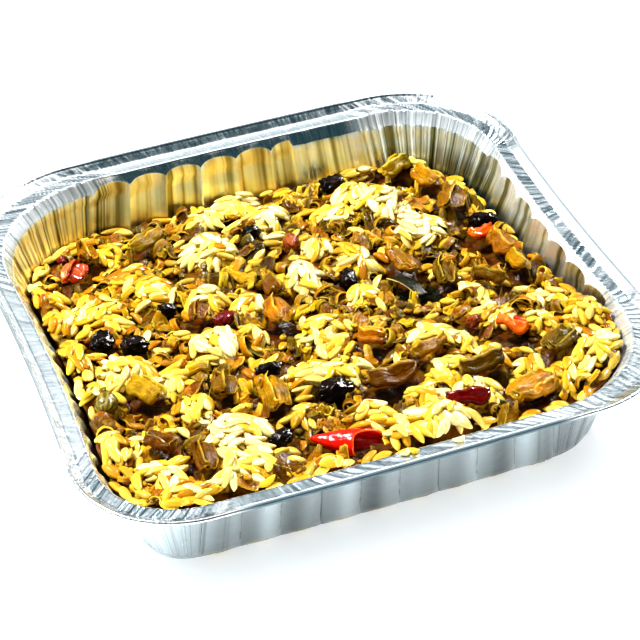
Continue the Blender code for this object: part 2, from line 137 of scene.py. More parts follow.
# How grains lie in each place: how much of a topping they may cover, how deep they sink,
# how far they may rise past the pile, and how much khaki, a painted shade, they take on.
IN_CLUMP = (0.12, 1.7, 1.9, 0.3)
AT_EDGE = (0.1, 1.1, 1.6, 1.1)
IN_GAP = (0.1, 1.1, 1.6, 1.3)
LOOSE_ON_TOP = (0.35, 0.5, 3.0, 0.9)
SCRAP_ON_TOPPING = 0.2
SCRAP_RISE = 3.4
# How often a grain is tried in a clump, in the gaps and on the top.
CLUMP_TRIES = 230
GAP_TRIES = 7000
LOOSE_TRIES = 500
# How bright grains are painted: in a clump by the painted light of its clump, elsewhere one
# of three values by chance, lower in the gaps as painted shade.
CLUMP_CONTRAST = 0.68
CLUMP_LEAST = 0.27
CLUMP_SPREAD = 0.21
EDGE_LIGHTS = (0.3, 0.5, 0.75)
EDGE_ODDS = (0.3, 0.4, 0.3)
GAP_LIGHTS = (0.2, 0.42, 0.7)
GAP_ODDS = (0.35, 0.4, 0.25)
LIGHT_SPREAD = 0.06
GAP_RICE = 0.3
# Layers of scraps: how many, how much rice may lie there, and the ranges of their length,
# of their width as a share of it, and of their tone.
SCRAP_LAYERS = (
    # The first layer lies lowest and is darker: partly darker onion, partly painted shade.
    (260, 0.3, (6.5, 12.0), (0.5, 0.8), (0.0, 0.45)),
    (480, 0.35, (4.5, 10.5), (0.45, 0.8), (0.1, 0.95)),
)
CURLS = 260
CURL_RICE = 0.45
CURL_RADIUS = (2.0, 4.2)
CURL_WIDTH = (1.8, 3.6)
CURL_TONE = (0.3, 1.0)
BITS = 1100
BIT_RICE = 0.9
BIT_SIZE = (1.3, 3.2)
BIT_TONE = (0.1, 0.95)
# Thickness of each kind of thin soft sheet.
SCRAP_SKIN = 0.8
CURL_SKIN = 0.75
HOLLOW_SKIN = 0.7
ROLL_SKIN = 0.8
FOLD_SKINS = {"onion": 0.8, "pepper": 1.2}

# Clumps of rice: where they show in the photograph (pixels across and down), their
# radius in millimetres and their painted light, from 0 to 1; brighter clumps also rise higher.
IMAGE_SIZE = 640
RICE_CLUMPS = (
    (237, 208, 9, 0.9), (202, 217, 8, 0.7), (268, 212, 8, 0.9), (208, 252, 10, 1.0),
    (206, 294, 8, 0.9), (250, 302, 8, 0.6), (300, 277, 9, 0.9), (214, 342, 9, 1.0),
    (252, 330, 6, 0.6), (95, 318, 12, 0.5), (62, 322, 9, 0.4), (45, 294, 8, 0.3),
    (74, 356, 9, 0.4), (124, 372, 10, 0.8), (106, 398, 8, 0.7), (175, 377, 7, 0.9),
    (193, 405, 8, 0.6), (240, 436, 12, 1.0), (232, 466, 11, 0.8), (270, 455, 9, 0.9),
    (114, 449, 9, 0.6), (155, 293, 9, 0.5), (133, 275, 8, 0.3), (110, 250, 7, 0.5),
    (313, 246, 6, 0.9), (307, 373, 9, 0.7), (317, 329, 7, 0.5), (380, 196, 11, 1.0),
    (352, 190, 8, 0.8), (419, 226, 10, 1.0), (330, 213, 8, 0.6), (357, 257, 9, 0.6),
    (363, 293, 7, 0.6), (321, 322, 7, 0.6), (338, 341, 6, 0.6), (346, 366, 8, 0.6),
    (478, 284, 8, 0.8), (493, 314, 7, 0.7), (430, 333, 8, 0.7), (461, 335, 5, 0.8),
    (449, 366, 8, 0.7), (478, 387, 8, 0.9), (426, 391, 7, 0.6), (541, 295, 5, 0.9),
    (543, 316, 6, 0.5), (587, 309, 8, 0.5), (587, 347, 11, 0.8), (566, 372, 8, 0.5),
    (533, 364, 6, 0.6), (441, 416, 11, 0.9), (373, 412, 8, 0.8), (407, 424, 9, 0.6),
    (165, 470, 9, 0.6), (150, 440, 7, 0.5), (190, 495, 10, 0.5), (410, 166, 7, 0.6),
    (452, 188, 6, 0.5), (300, 410, 6, 0.4), (330, 470, 6, 0.4), (495, 350, 6, 0.5),
)

# The dark hollow right of the middle, in painted shade: its place and radius, and the leaf
# edge in it with a painted highlight.
HOLLOW = (43.0, -2.0, 9.0)
HOLLOW_EDGE = ((32.4, 5.2, 27.6), (37.0, -1.5, 29.4), (38.8, -9.9, 27.6))
HOLLOW_FALL = (7.0, 3.5, -3.0)
SPECK_SIZE = 2.6
SPECK_HEIGHT = 0.7

# Crumbs of rice on the front flange: place, heading, length and their painted light.
CRUMB_HEIGHT = 38.0
RIM_CRUMBS = (
    ((-1.4, -97.6), 0.5, 4.2, 0.95),
    ((0.8, -98.0), -0.6, 3.2, 0.6),
    ((17.1, -98.4), 0.1, 4.5, 1.0),
)

# Colours of the food. Rice has one for each stop of its painted light from 0 to 1, from deep
# amber in shade to near white where lit, and onion one for each quarter of its tone.
RICE_STOPS = (0.0, 0.3, 0.62, 0.85, 1.0)
RICE_COLOURS = np.array((
    (0.26, 0.09, 0.002), (0.50, 0.22, 0.004), (0.76, 0.55, 0.06),
    (0.84, 0.68, 0.27), (0.90, 0.81, 0.46),
))
# The painted shade of dim grains.
KHAKI = (0.58, 0.42, 0.08)
ONION_TONES = np.array((
    (0.04, 0.025, 0.001), (0.12, 0.082, 0.001), (0.25, 0.175, 0.002),
    (0.42, 0.30, 0.004), (0.66, 0.52, 0.04),
))
AMBER_TONES = np.array((
    (0.05, 0.015, 0.0005), (0.17, 0.06, 0.001), (0.36, 0.15, 0.003),
    (0.58, 0.25, 0.005), (0.75, 0.42, 0.015),
))
# Paler onion edges: partly the thin edge's own colour, partly a painted highlight.
PALE_EDGE = (0.78, 0.66, 0.16)
# The painted highlight on the leaf's edge in the hollow.
HOLLOW_HIGHLIGHT = (1.0, 0.95, 0.6)
# Between the grains: maroon and olive, partly the sauce's own colour and partly painted shade.
MAROON = (0.12, 0.036, 0.002)
OLIVE = (0.12, 0.066, 0.003)
# Black-green: painted shade in the hollow.
BLACK_GREEN = (0.012, 0.014, 0.003)
RAISIN_STOPS = [(0.3, (0.002, 0.001, 0.001)), (0.7, (0.014, 0.004, 0.001))]
SULTANA_STOPS = [(0.3, (0.16, 0.03, 0.005)), (0.7, (0.34, 0.10, 0.02))]
CAPER_STOPS = [(0.3, (0.05, 0.035, 0.002)), (0.7, (0.16, 0.11, 0.008))]
CAPER_RIB = (0.30, 0.23, 0.03)
PEPPER_STOPS = {
    "red": [(0.3, (0.60, 0.006, 0.0)), (0.7, (0.80, 0.02, 0.0))],
    "deep": [(0.3, (0.05, 0.001, 0.0004)), (0.7, (0.19, 0.003, 0.0005))],
    "orange": [(0.35, (0.42, 0.03, 0.001)), (0.6, (0.72, 0.17, 0.003))],
    "rust": [(0.35, (0.26, 0.015, 0.001)), (0.6, (0.52, 0.075, 0.002))],
}
# Pale orange along the roll's thin edges: partly the cut edge's own colour, partly a painted highlight.
RED_PEPPER_EDGE = (0.95, 0.22, 0.01)
PEPPER_KINDS = {
    "pepper_roll": "red",
    "pepper_bit_01": "deep",
    "pepper_bit_02": "deep",
    "pepper_bit_03": "rust",
    "pepper_bit_04": "deep",
    "pepper_bit_05": "orange",
    "pepper_bit_06": "orange",
}

# Toppings. A folded sheet has a lower leaf, a bend and an upper leaf, given as shares of
# the way across it.
BERRY_CREASES = 2.4
BERRY_DEPTH = 0.20
CAPER_DEPTH = 0.05
CAPER_RIBS = 11
ROUND_PEPPERS = ("pepper_bit_01", "pepper_bit_02")
BEND_START = 0.62
BEND_END = 0.78
BEND_RADIUS = 0.9
FOLD_TAPER = 0.35
FOLD_WRINKLE = 0.35
SHEET_INSIDE = 0.92
ROLL_TIP = (-26.5, -73.3, 33.3)
ROLL_END = (-5.3, -85.8, 32.6)
ROLL_RADIUS = 5.4
ROLL_SWEEP = (-100.0, 285.0)
ROLL_TAPER = 0.58

# Camera, fitted to the rim and base outlines in the photograph.
CAMERA_PLACE = (-216.7, -635.5, 548.6)
CAMERA_RIGHT = (0.93524, -0.35250, -0.03275)
CAMERA_DOWN = (-0.24191, -0.56879, -0.78610)
CAMERA_LENS = 132.67
SENSOR = 36.0

# Studio. Each patch of sky has its direction, its inner and outer half angle in degrees
# and its colour.
FLOOR_GLOW = 0.38
WORLD_STRENGTH = 0.75
SKY_DARK = (0.01, 0.04, 0.05)
SKY_LIGHT = (0.70, 0.80, 0.84)
SKY_PATCHES = (
    ((0.25, -0.97, -0.05), 16.0, 30.0, (0.95, 0.92, 0.82)),
    ((0.25, -0.70, 0.72), 24.0, 36.0, (0.025, 0.075, 0.09)),
    ((0.25, 0.72, 0.64), 6.0, 18.0, (0.54, 0.65, 0.69)),
    ((0.06, 0.82, 0.57), 5.0, 11.0, (0.92, 1.0, 1.02)),
    ((-0.68, 0.72, 0.06), 9.0, 20.0, (1.5, 1.5, 1.5)),
    ((0.25, 0.30, 0.92), 12.0, 26.0, (1.9, 1.9, 1.9)),
)
# Lamps: place and size in metres, power in watts, and whether they mirror and light up.
LAMPS = {
    "key": ((-0.40, 0.38, 1.05), (0.16, 0.12), 19.0, True, True),
    "top": ((0.1, -0.1, 1.2), (0.9, 0.9), 5.0, False, True),
    "glint": ((0.88, 0.38, 0.74), (0.26, 0.18), 46.0, True, False),
}
LAMP_TARGET = (0.0, 0.0, 0.03)
FLOOR_REACH = 4.0
FLOOR_DROP = 0.0002

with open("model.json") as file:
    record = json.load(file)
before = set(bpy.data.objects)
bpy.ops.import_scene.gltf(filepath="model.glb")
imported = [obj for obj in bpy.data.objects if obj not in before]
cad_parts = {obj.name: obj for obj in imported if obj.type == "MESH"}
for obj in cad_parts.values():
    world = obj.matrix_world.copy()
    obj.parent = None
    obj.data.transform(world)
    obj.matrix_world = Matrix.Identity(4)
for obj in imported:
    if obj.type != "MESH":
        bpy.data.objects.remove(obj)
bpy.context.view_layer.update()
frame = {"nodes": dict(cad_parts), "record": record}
rng = np.random.default_rng(SEED)


def blend(first, second, share):
    """The value that lies the given share of the way from the first to the second."""
    return first + (second - first) * share


def unit(vector):
    """The same direction, one unit long."""
    return vector / np.linalg.norm(vector)


def turned(x, y, along, across, cos, sin):
    """Places around x and y, from distances along and across a heading."""
    return x + along * cos - across * sin, y + along * sin + across * cos


def smooth_step(low, high, value):
    """Rises smoothly from 0 at low to 1 at high."""
    share = np.clip((value - low) / (high - low), 0.0, 1.0)
    return share * share * (3.0 - 2.0 * share)


def new_piece(name, points, faces, material, replaced):
    """A mesh object from points in millimetres, riding on the tray's one body."""
    mesh = bpy.data.meshes.new(name)
    mesh.from_pydata((np.asarray(points) * MM).tolist(), [], [tuple(f) for f in faces])
    mesh.validate()
    mesh.polygons.foreach_set("use_smooth", [True] * len(mesh.polygons))
    mesh.materials.append(material)
    piece = bpy.data.objects.new(name, mesh)
    bpy.context.scene.collection.objects.link(piece)
    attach(piece, "root")
    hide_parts(replaced)
    return piece


def loop_faces(rows, count):
    """Faces between loops of points, row by row, with a flat cap at each end."""
    columns = np.arange(count)
    after = (columns + 1) % count
    faces = []
    for low in range(0, (rows - 1) * count, count):
        high = low + count
        faces.extend(zip(low + columns, low + after, high + after, high + columns))
    faces.append(tuple(reversed(range(count))))
    faces.append(tuple(range((rows - 1) * count, rows * count)))
    return faces


def globe_faces(rings, around):
    """Faces between the rings of a globe, from pole to pole."""
    faces = []
    for ring in range(rings):
        for step in range(around):
            a = ring * around + step
            b = ring * around + (step + 1) % around
            faces.append((a, b, b + around, a + around))
    return faces


def paint(piece, name, values):
    """Stores one colour for each point of a piece."""
    layer = piece.data.color_attributes.new(name, "FLOAT_COLOR", "POINT")
    colours = np.ones((len(piece.data.vertices), 4))
    colours[:, :values.shape[1]] = values
    layer.data.foreach_set("color", colours.ravel())


def paint_grey(piece, name, values):
    """Stores one shade of grey for each point of a piece."""
    paint(piece, name, np.repeat(np.asarray(values)[:, None], 3, axis=1))


# Materials

class Nodes:
    """Short helper for building the node tree of a material or of the sky."""

    def __init__(self, owner, shader="Principled BSDF"):
        self.owner = owner
        owner.use_nodes = True
        self.tree = owner.node_tree
        self.shader = self.tree.nodes[shader]

    def add(self, kind, settings=None, **inputs):
        node = self.tree.nodes.new("ShaderNode" + kind)
        for key, value in (settings or {}).items():
            setattr(node, key, value)
        for key, value in inputs.items():
            self.put(node, key.replace("_", " "), value)
        return node

    def put(self, node, socket, value):
        if isinstance(value, bpy.types.NodeSocket):
            self.tree.links.new(value, node.inputs[socket])
        else:
            node.inputs[socket].default_value = value

    def set(self, **inputs):
        for key, value in inputs.items():
            self.put(self.shader, key.replace("_", " "), value)

    def noise(self, vector, scale, detail=3.0, rough=0.5):
        node = self.add("TexNoise", Vector=vector, Scale=scale, Detail=detail, Roughness=rough)
        return node.outputs["Fac"]

    def ramp(self, fac, stops):
        node = self.add("ValToRGB", Fac=fac)
        band = node.color_ramp
        while len(band.elements) < len(stops):
            band.elements.new(0.5)
        for element, (place, colour) in zip(band.elements, stops):
            element.position = place
            element.color = (*colour, 1.0)
        return node.outputs["Color"]

    def mix(self, fac, first, second, mode="MIX"):
        node = self.add("MixRGB", {"blend_type": mode})
        self.put(node, "Fac", fac)
        self.put(node, "Color1", first)
        self.put(node, "Color2", second)
        return node.outputs["Color"]

    def bump(self, height, distance, strength=1.0, normal=None):
        node = self.add("Bump", Height=height, Distance=distance, Strength=strength)
        if normal is not None:
            self.put(node, "Normal", normal)
        return node.outputs["Normal"]

    def place(self, scale=(1.0, 1.0, 1.0), source="Object"):
        spot = self.add("TexCoord").outputs[source]
        return self.add("Mapping", Vector=spot, Scale=scale).outputs["Vector"]

    def colour(self, name):
        return self.add("VertexColor", {"layer_name": name}).outputs["Color"]


def foil_material():
    """Bright crinkled aluminium, with a painted golden reflection and painted streaks on the inside walls.
    """
    m = Nodes(bpy.data.materials.new("foil"))
    tint = m.colour("tint")
    around = m.place((1.0, 0.12, 1.0), "UV")
    fine = m.noise(around, 900.0, 4.0, 0.6)
    broad = m.noise(m.place(), 120.0, 2.0)
    rough = m.ramp(fine, [(0.3, (0.12,) * 3), (0.75, (0.3,) * 3)])
    rough = m.mix(m.colour("dull_and_painted_shade"), rough, (0.36, 0.36, 0.36, 1.0))
    normal = m.bump(fine, 0.00025, 0.55)
    normal = m.bump(broad, 0.0012, 0.35, normal)
    # Painted streaks of dark and light reflection, laid on the inside walls only.
    bands = m.noise(m.place((1.0, 0.03, 1.0), "UV"), 210.0, 1.5, 0.45)
    dark = m.ramp(bands, [(0.38, (0.42, 0.38, 0.22)), (0.46, (0.95, 0.92, 0.85)),
                          (0.58, (1.22, 1.2, 1.3))])
    streaks = m.noise(m.place((1.0, 0.02, 1.0), "UV"), 600.0, 3.0, 0.6)
    light = m.ramp(streaks, [(0.35, (0.78, 0.76, 0.7)), (0.6, (1.1, 1.1, 1.1))])
    dark = m.mix(1.0, dark, light, "MULTIPLY")
    dark = m.mix(m.colour("dull_and_painted_shade"), (1.0, 1.0, 1.0, 1.0), dark)
    tint = m.mix(1.0, tint, dark, "MULTIPLY")
    metal = m.mix(m.colour("matt"), (1.0, 1.0, 1.0, 1.0), (0.1, 0.1, 0.1, 1.0))
    m.set(Base_Color=tint, Metallic=metal, Roughness=rough, Normal=normal)
    return m.owner


def rice_material(name):
    """Moist cooked rice: each grain's own colour, with a faint grain along it."""
    m = Nodes(bpy.data.materials.new(name))
    own = m.colour("grain")
    specks = m.noise(m.place(), 900.0, 3.0)
    shade = m.ramp(specks, [(0.3, (0.9, 0.84, 0.7)), (0.7, (1.0, 1.0, 1.0))])
    m.set(Base_Color=m.mix(1.0, own, shade, "MULTIPLY"), Roughness=0.25,
          Normal=m.bump(specks, 0.0002, 0.3), Subsurface_Weight=0.2, Subsurface_Scale=0.0015,
          Subsurface_Radius=(1.0, 0.6, 0.15), Specular_IOR_Level=0.12)
    return m.owner


def core_material():
    """The dark, oily mix of sauce and soft onion that shows between the grains, its dark partly painted
    shade.
    """
    m = Nodes(bpy.data.materials.new("sauce"))
    spots = m.noise(m.place(), 260.0, 4.0)
    shade = m.ramp(spots, [(0.35, (0.25, 0.18, 0.10)), (0.55, (0.9, 0.85, 0.7)),
                           (0.75, (1.0, 1.0, 1.0))])
    colour = m.mix(1.0, m.colour("under"), shade, "MULTIPLY")
    m.set(Base_Color=colour, Roughness=0.3, Specular_IOR_Level=0.07,
          Normal=m.bump(spots, 0.0015, 0.8))
    return m.owner


def skin_material(name, stops, roughness, wrinkle, coat=0.5, glow=0.0, edge=None, relief=0.7):
    """Glossy skin or flesh: mottled between the given colours, with wrinkles of one size."""
    m = Nodes(bpy.data.materials.new(name))
    broad = m.noise(m.place(), 180.0, 3.0)
    creases = m.noise(m.place(), wrinkle, 4.0, 0.6)
    colour = m.ramp(broad, stops)
    if edge:
        colour = m.mix(m.colour("lit"), colour, (*edge, 1.0))
    m.set(Base_Color=colour, Roughness=roughness, Specular_IOR_Level=coat,
          Normal=m.bump(creases, 0.0009, relief))
    if glow:
        m.set(Subsurface_Weight=glow, Subsurface_Scale=0.003, Subsurface_Radius=(1.0, 0.35, 0.08))
    return m.owner


def onion_material():
    """Soft-cooked onion: glossy and see-through, olive to amber, with fine veins."""
    m = Nodes(bpy.data.materials.new("onion"))
    along = m.add("Mapping", Vector=m.colour("lie"), Scale=(0.25, 1.6, 1.0)).outputs["Vector"]
    veins = m.noise(along, 1.0, 4.0, 0.6)
    broad = m.noise(m.place(), 150.0, 2.0)
    shade = m.ramp(veins, [(0.3, (0.55, 0.45, 0.3)), (0.6, (1.0, 1.0, 1.0))])
    cast = m.ramp(broad, [(0.35, (0.78, 0.79, 0.5)), (0.65, (1.12, 0.98, 0.72))])
    colour = m.mix(1.0, m.mix(1.0, m.colour("own"), shade, "MULTIPLY"), cast, "MULTIPLY")
    ripples = m.noise(m.place(), 800.0, 3.0)
    normal = m.bump(ripples, 0.0005, 0.6, m.bump(veins, 0.0006, 0.8))
    m.set(Base_Color=colour, Roughness=0.16, Specular_IOR_Level=0.13,
          Normal=normal, Subsurface_Weight=0.3, Subsurface_Scale=0.003,
          Subsurface_Radius=(1.0, 0.7, 0.08))
    return m.owner


# Tray

class Outline:
    """Columns around the tray. Each knows its corner or side, and which way is outwards."""

    def __init__(self, corner_columns, side_columns):
        parts = []
        for corner in range(4):
            for step in range(corner_columns):
                parts.append((corner, step / corner_columns, 0, 0.0))
            for step in range(side_columns):
                parts.append((corner, 1.0, 1, step / side_columns))
        table = np.array(parts)
        self.corner = table[:, 0].astype(int)
        self.turn = table[:, 1]
        self.on_side = table[:, 2] > 0
        self.share = table[:, 3]
        angle = np.radians(90.0 * (self.corner + self.turn))
        self.out = np.stack([np.cos(angle), np.sin(angle)], 1)
        line = self.ring(np.full(len(table), WALL_INSET), np.zeros(len(table)))
        steps = np.linalg.norm(np.roll(line, -1, 0) - line, axis=1)
        self.along = np.concatenate([[0.0], np.cumsum(steps)[:-1]])
        self.length = steps.sum()

    def radius(self, corner, inset):
        bead = np.array(BEAD_RADII)[corner]
        wall = np.array(WALL_RADII)[corner]
        rim = blend(bead, wall, np.clip(inset / WALL_INSET, 0.0, 1.0))
        share = np.clip((inset - WALL_INSET) / (BASE_INSET - WALL_INSET), 0.0, 1.2)
        return np.where(inset <= WALL_INSET, rim, wall * blend(1.0, BASE_RADIUS_SHARE, share))

    def arc_end(self, corner, turn, inset):
        """Point on a corner's arc: turn is 0 at its start and 1 at its end."""
        sign_x = np.array((1, -1, -1, 1))[corner]
        sign_y = np.array((1, 1, -1, -1))[corner]
        radius = self.radius(corner, inset)
        angle = np.radians(90.0 * (corner + turn))
        x = sign_x * (TRAY_LENGTH / 2 - inset - radius) + radius * np.cos(angle)
        y = sign_y * (TRAY_WIDTH / 2 - inset - radius) + radius * np.sin(angle)
        return np.stack([x, y], 1)

    def ring(self, inset, z, push=0.0):
        """The loop of points at an inset and height for each column, pushed outwards."""
        inset = np.broadcast_to(np.asarray(inset, float), self.turn.shape)
        start = self.arc_end(self.corner, self.turn, inset)
        end = self.arc_end((self.corner + 1) % 4, np.zeros_like(self.turn), inset)
        share = np.where(self.on_side, self.share, 0.0)[:, None]
        line = blend(start, end, share) + self.out * np.reshape(push, (-1, 1))
        half_length = TRAY_LENGTH / 2 - inset
        half_width = TRAY_WIDTH / 2 - inset
        across = np.minimum(1.0, np.abs(line[:, 0]) / half_length)
        along = np.minimum(1.0, np.abs(line[:, 1]) / half_width)
        x = line[:, 0] + np.sign(line[:, 0]) * END_BOW * np.cos(along * math.pi / 2) * across ** 4
        y = line[:, 1] + np.sign(line[:, 1]) * FRONT_BOW * np.cos(across * math.pi / 2) * along ** 4
        return np.stack([x, y, np.broadcast_to(z, x.shape)], 1)


def pleats(outline, low, high, sharp):
    """Irregular folds around the tray: 0 at each crease and up to 1 between creases."""
    widths = rng.uniform(low, high, int(outline.length / low) + 4)
    edges = np.concatenate([[0.0], np.cumsum(widths)])
    edges *= outline.length / edges[np.searchsorted(edges, outline.length)]
    index = np.clip(np.searchsorted(edges, outline.along, side="right") - 1, 0, len(edges) - 2)
    inside = (outline.along - edges[index]) / (edges[index + 1] - edges[index])
    height = rng.uniform(0.25, 1.0, len(edges))[index]
    return height * (1.0 - np.abs(2.0 * inside - 1.0) ** sharp)


def wall_inset(z):
    """Inset of the wall's inner face at a height, at the inward edges of its flutes."""
    z = np.asarray(z, float)
    upper = blend(FLUTE_INSET, WALL_INSET, (z - FLUTE_TOP) / (WALL_TOP - FLUTE_TOP))
    lower = blend(BASE_INSET + 0.3, FLUTE_INSET, (z - 0.6) / (FLUTE_TOP - 0.6))
    return np.where(z > FLUTE_TOP, upper, lower)


class FoilSkin:
    """Rows of the foil's skin from inside the base, over the bead and back under the base.

    A row has its points, its kind (1 on the wall inside, -1 on the wall outside, else 0),
    how much painted shade darkens it and how matt.
    """

    def __init__(self, outline):
        self.outline = outline
        self.rows = []
        share = outline.share
        along_side = smooth_step(0.0, 0.12, share) * smooth_step(0.0, 0.12, 1.0 - share)
        self.corner_weight = np.where(outline.on_side, 1.0 - along_side, 1.0)
        inside = (share * np.array(SIDE_FLUTES)[outline.corner]) % 1.0
        arch = np.sqrt(np.clip(1.0 - (2.0 * inside - 1.0) ** 2, 0, 1))
        back_smooth = np.where((outline.corner == 0) & (share < 0.3), 0.15, 1.0)
        self.arch = np.where(outline.on_side, arch, 0.0) * back_smooth
        self.wall_folds = pleats(outline, 2.4, 8.5, 5.0) * self.corner_weight
        self.small_folds = pleats(outline, 1.0, 3.4, 1.2)
        fine_folds = pleats(outline, 1.2, 3.2, 1.2) + 0.8 * pleats(outline, 2.5, 7.0, 6.0)
        dents = pleats(outline, 5.0, 13.0, 14.0)
        self.rim_weight = self.by_side(RIM_CREASE, CORNER_CREASE)
        self.rim_folds = fine_folds * self.rim_weight + 1.1 * dents * self.by_side(RIM_DENTS, CORNER_DENTS)
        self.crimps = pleats(outline, 0.9, 2.4, 2.0)
        # Painted shade on the steep sides of the rim's folds, and in lines along the wall's folds.
        rim_shade = self.by_side(RIM_SHADE, CORNER_SHADE)
        self.stripes = np.clip(self.slope_of(self.rim_folds) * 1.6 * rim_shade, 0.0, 0.85)
        self.lines = np.clip(0.5 * self.slope_of(self.wall_folds), 0.0, 0.7)
        self.ridges, self.cracks = rim_cracks(outline, self.corner_weight)
        middle = outline.ring(WALL_INSET, 0.0)
        x, y = middle[:, 0], middle[:, 1]
        patchy = np.array([noise.noise(Vector((place / 6.0, 3.0, 7.0))) for place in outline.along])
        patchy = np.clip(0.6 + 0.9 * patchy, 0.0, 1.0)
        self.back_right = 0.5 * patchy * smooth_step(55.0, 85.0, x) * smooth_step(-40.0, 40.0, y)
        self.wall_ridges = self.ridges * smooth_step(30.0, 50.0, x) * smooth_step(20.0, 60.0, y)
        self.right_end = smooth_step(70.0, 95.0, x)
        self.left_end = smooth_step(-60.0, -90.0, x)
        self.add_inner_wall()
        self.add_shoulder()
        self.add_flange_and_lip()
        self.add_bead()
        self.add_outside()

    def by_side(self, values, corner_value):
        """One value for each column: its side's, passing into that of the corners."""
        side = np.array(values)[self.outline.corner]
        passing = blend(side, corner_value, self.corner_weight)
        return np.where(self.outline.on_side, passing, corner_value)

    def slope_of(self, folds):
        return np.abs(np.gradient(folds, self.outline.along))

    def leaned(self, values, inset):
        """The folds' values where slanting folds cross the rim at this inset."""
        along = self.outline.along
        lean = 1.1 * np.sin(along / 23.0) + 0.5
        place = along + lean * (inset - 7.0)
        return np.interp(place, along, values, period=self.outline.length)

    def wall_push(self, z):
        """How far flutes and folds push the wall outwards at a height."""
        share = smooth_step(0.0, 3.0, WALL_TOP - z) * smooth_step(0.3, 3.5, z + 1.0)
        flute = FLUTE_DEPTH * self.arch * smooth_step(0.3, 3.5, z + 1.0)
        return flute + (0.8 * self.wall_folds + 0.12 * self.small_folds) * share

    def add(self, inset, z, push=0.0, kind=0.0, shade=0.0, matt=0.0):
        self.rows.append((self.outline.ring(inset, z, push), kind, shade, matt))

    def add_inner_wall(self):
        """From the base up to where the wall passes into the shoulder."""
        self.add(BASE_INSET + 9.0, 0.6)
        self.add(BASE_INSET + 0.6, 0.6)
        for z in INNER_LEVELS:
            low = 1.0 - smooth_step(14.0, 30.0, z)
            # Painted shade: lines along the folds, dark cracks, and the lower part of the right end.
            shade = self.lines + 0.75 * self.cracks * (z > 12.0) + 0.55 * low * self.right_end
            matt = self.back_right * smooth_step(20.0, 31.0, z)
            matt = np.clip(matt + self.wall_ridges * smooth_step(15.0, 22.0, z), 0.0, 1.0)
            push = self.wall_push(z) - 0.5 * self.wall_ridges
            self.add(wall_inset(z), z, push, 1.0, np.clip(shade, 0.0, 0.9), matt)
        self.break_inset = blend(BREAK_BETWEEN[0], BREAK_CROWN[0], self.arch) - 0.3 * self.wall_folds
        self.break_z = blend(BREAK_BETWEEN[1], BREAK_CROWN[1], self.arch)
        highest = INNER_LEVELS[-1]
        last_inset = wall_inset(highest) - self.wall_push(highest)
        # Painted shade along the folds and in the cracks.
        shade = np.clip(self.lines + 0.75 * self.cracks, 0.0, 0.9)
        matt = np.clip(self.back_right + self.wall_ridges, 0.0, 1.0)
        for share in (0.35, 0.65, 0.88, 0.99):
            inset = blend(last_inset, self.break_inset, share) + 0.5 * share * (1.0 - share)
            z = blend(highest, self.break_z, share)
            self.add(inset, z, -0.5 * self.wall_ridges, 1.0, shade, matt)

    def add_shoulder(self):
        """The rounded step from the wall out to the flange."""
        matt = np.maximum(self.by_side(SHOULDER_MATT, 0.4), 0.8 * self.ridges)
        for share in (0.02, 0.2, 0.5, 0.8, 0.95):
            swell = 0.5 * share * (1.0 - share)
            inset = blend(self.break_inset, SHOULDER_END[0], share) - swell
            z = blend(self.break_z, SHOULDER_END[1], share) + swell
            # Painted shade on the sides of the folds and in the cracks.
            shade = np.maximum(0.5 * self.stripes * share, 0.7 * self.cracks)
            self.add(inset, z + 0.35 * self.rim_folds * share, 0.0, 0.0, shade, matt)

    def add_flange_and_lip(self):
        """The flat flange and the lip that rises from it."""
        for inset in FLANGE_INSETS:
            creases = self.leaned(self.ridges - self.cracks, inset)
            folds = self.leaned(self.rim_folds, inset) + 0.6 * creases
            # Painted shade: the steep sides of the folds, the cracks, and a darker flange on some sides.
            shade = np.maximum(self.leaned(self.stripes, inset), 0.8 * self.leaned(self.cracks, inset))
            shade = np.maximum(shade, self.by_side(FLANGE_PAINTED_SHADE, 0.0))
            z = FLANGE_TOP + 0.5 * folds - 0.2 * self.rim_weight
            self.add(inset, z, 0.0, 0.0, shade, 0.7 * self.leaned(self.ridges, inset))
        lip_weight = self.by_side(LIP_FOLDS, CORNER_LIP)
        for share in (0.0, 0.25, 0.5, 0.75, 1.0):
            inset = blend(LIP_INSET, LIP_END, share)
            z = blend(FLANGE_TOP + 0.15, TRAY_HEIGHT - BEAD_ROLL, share)
            z = z + 0.25 * self.rim_folds * lip_weight * (1.0 - share)
            # Painted shade in the cracks.
            shade = 0.7 * self.leaned(self.cracks, inset) * lip_weight
            matt = np.maximum(self.by_side(LIP_MATT, 0.0), 0.7 * self.leaned(self.ridges, inset))
            self.add(inset, z, 0.0, 0.0, shade, matt)

    def add_bead(self):
        """The bead, rolled from the lip over the top and round to its underside."""
        roll = BEAD_ROLL * (0.92 - 0.16 * self.crimps * self.corner_weight)
        # Painted shade in the crimps of the bead at the corners and along its lines.
        crimp_shade = np.clip(self.slope_of(self.crimps) * 0.5, 0.0, 0.7) * self.corner_weight
        for step in range(BEAD_STEPS):
            angle = math.radians(BEAD_START + BEAD_TURN * step)
            lines_here = [tone * (step in steps) for tone, steps in zip(BEAD_LINE_SHADE, BEAD_LINES)]
            shade = np.maximum(self.by_side(lines_here, 0.0), crimp_shade)
            z = TRAY_HEIGHT - BEAD_ROLL + roll * math.sin(angle)
            inset = BEAD_ROLL + roll * math.cos(angle)
            self.add(inset, z, 0.0, 0.0, shade, self.by_side(LIP_MATT, 0.0))

    def add_outside(self):
        """The underside of the rim, the wall outside and the rounded edge of the base."""
        for share in (0.15, 0.5, 0.85):
            self.add(blend(LIP_END, LIP_INSET + 0.2, share), blend(38.3, FLANGE_TOP - 0.5, share))
        self.add(7.0, FLANGE_TOP - 0.55)
        self.add(8.8, FLANGE_TOP - 0.7)
        for share in (0.6, 0.0):
            inset = blend(self.break_inset, SHOULDER_END[0], share) - SKIN - 0.2
            self.add(inset, blend(self.break_z, SHOULDER_END[1], share) - 0.5)
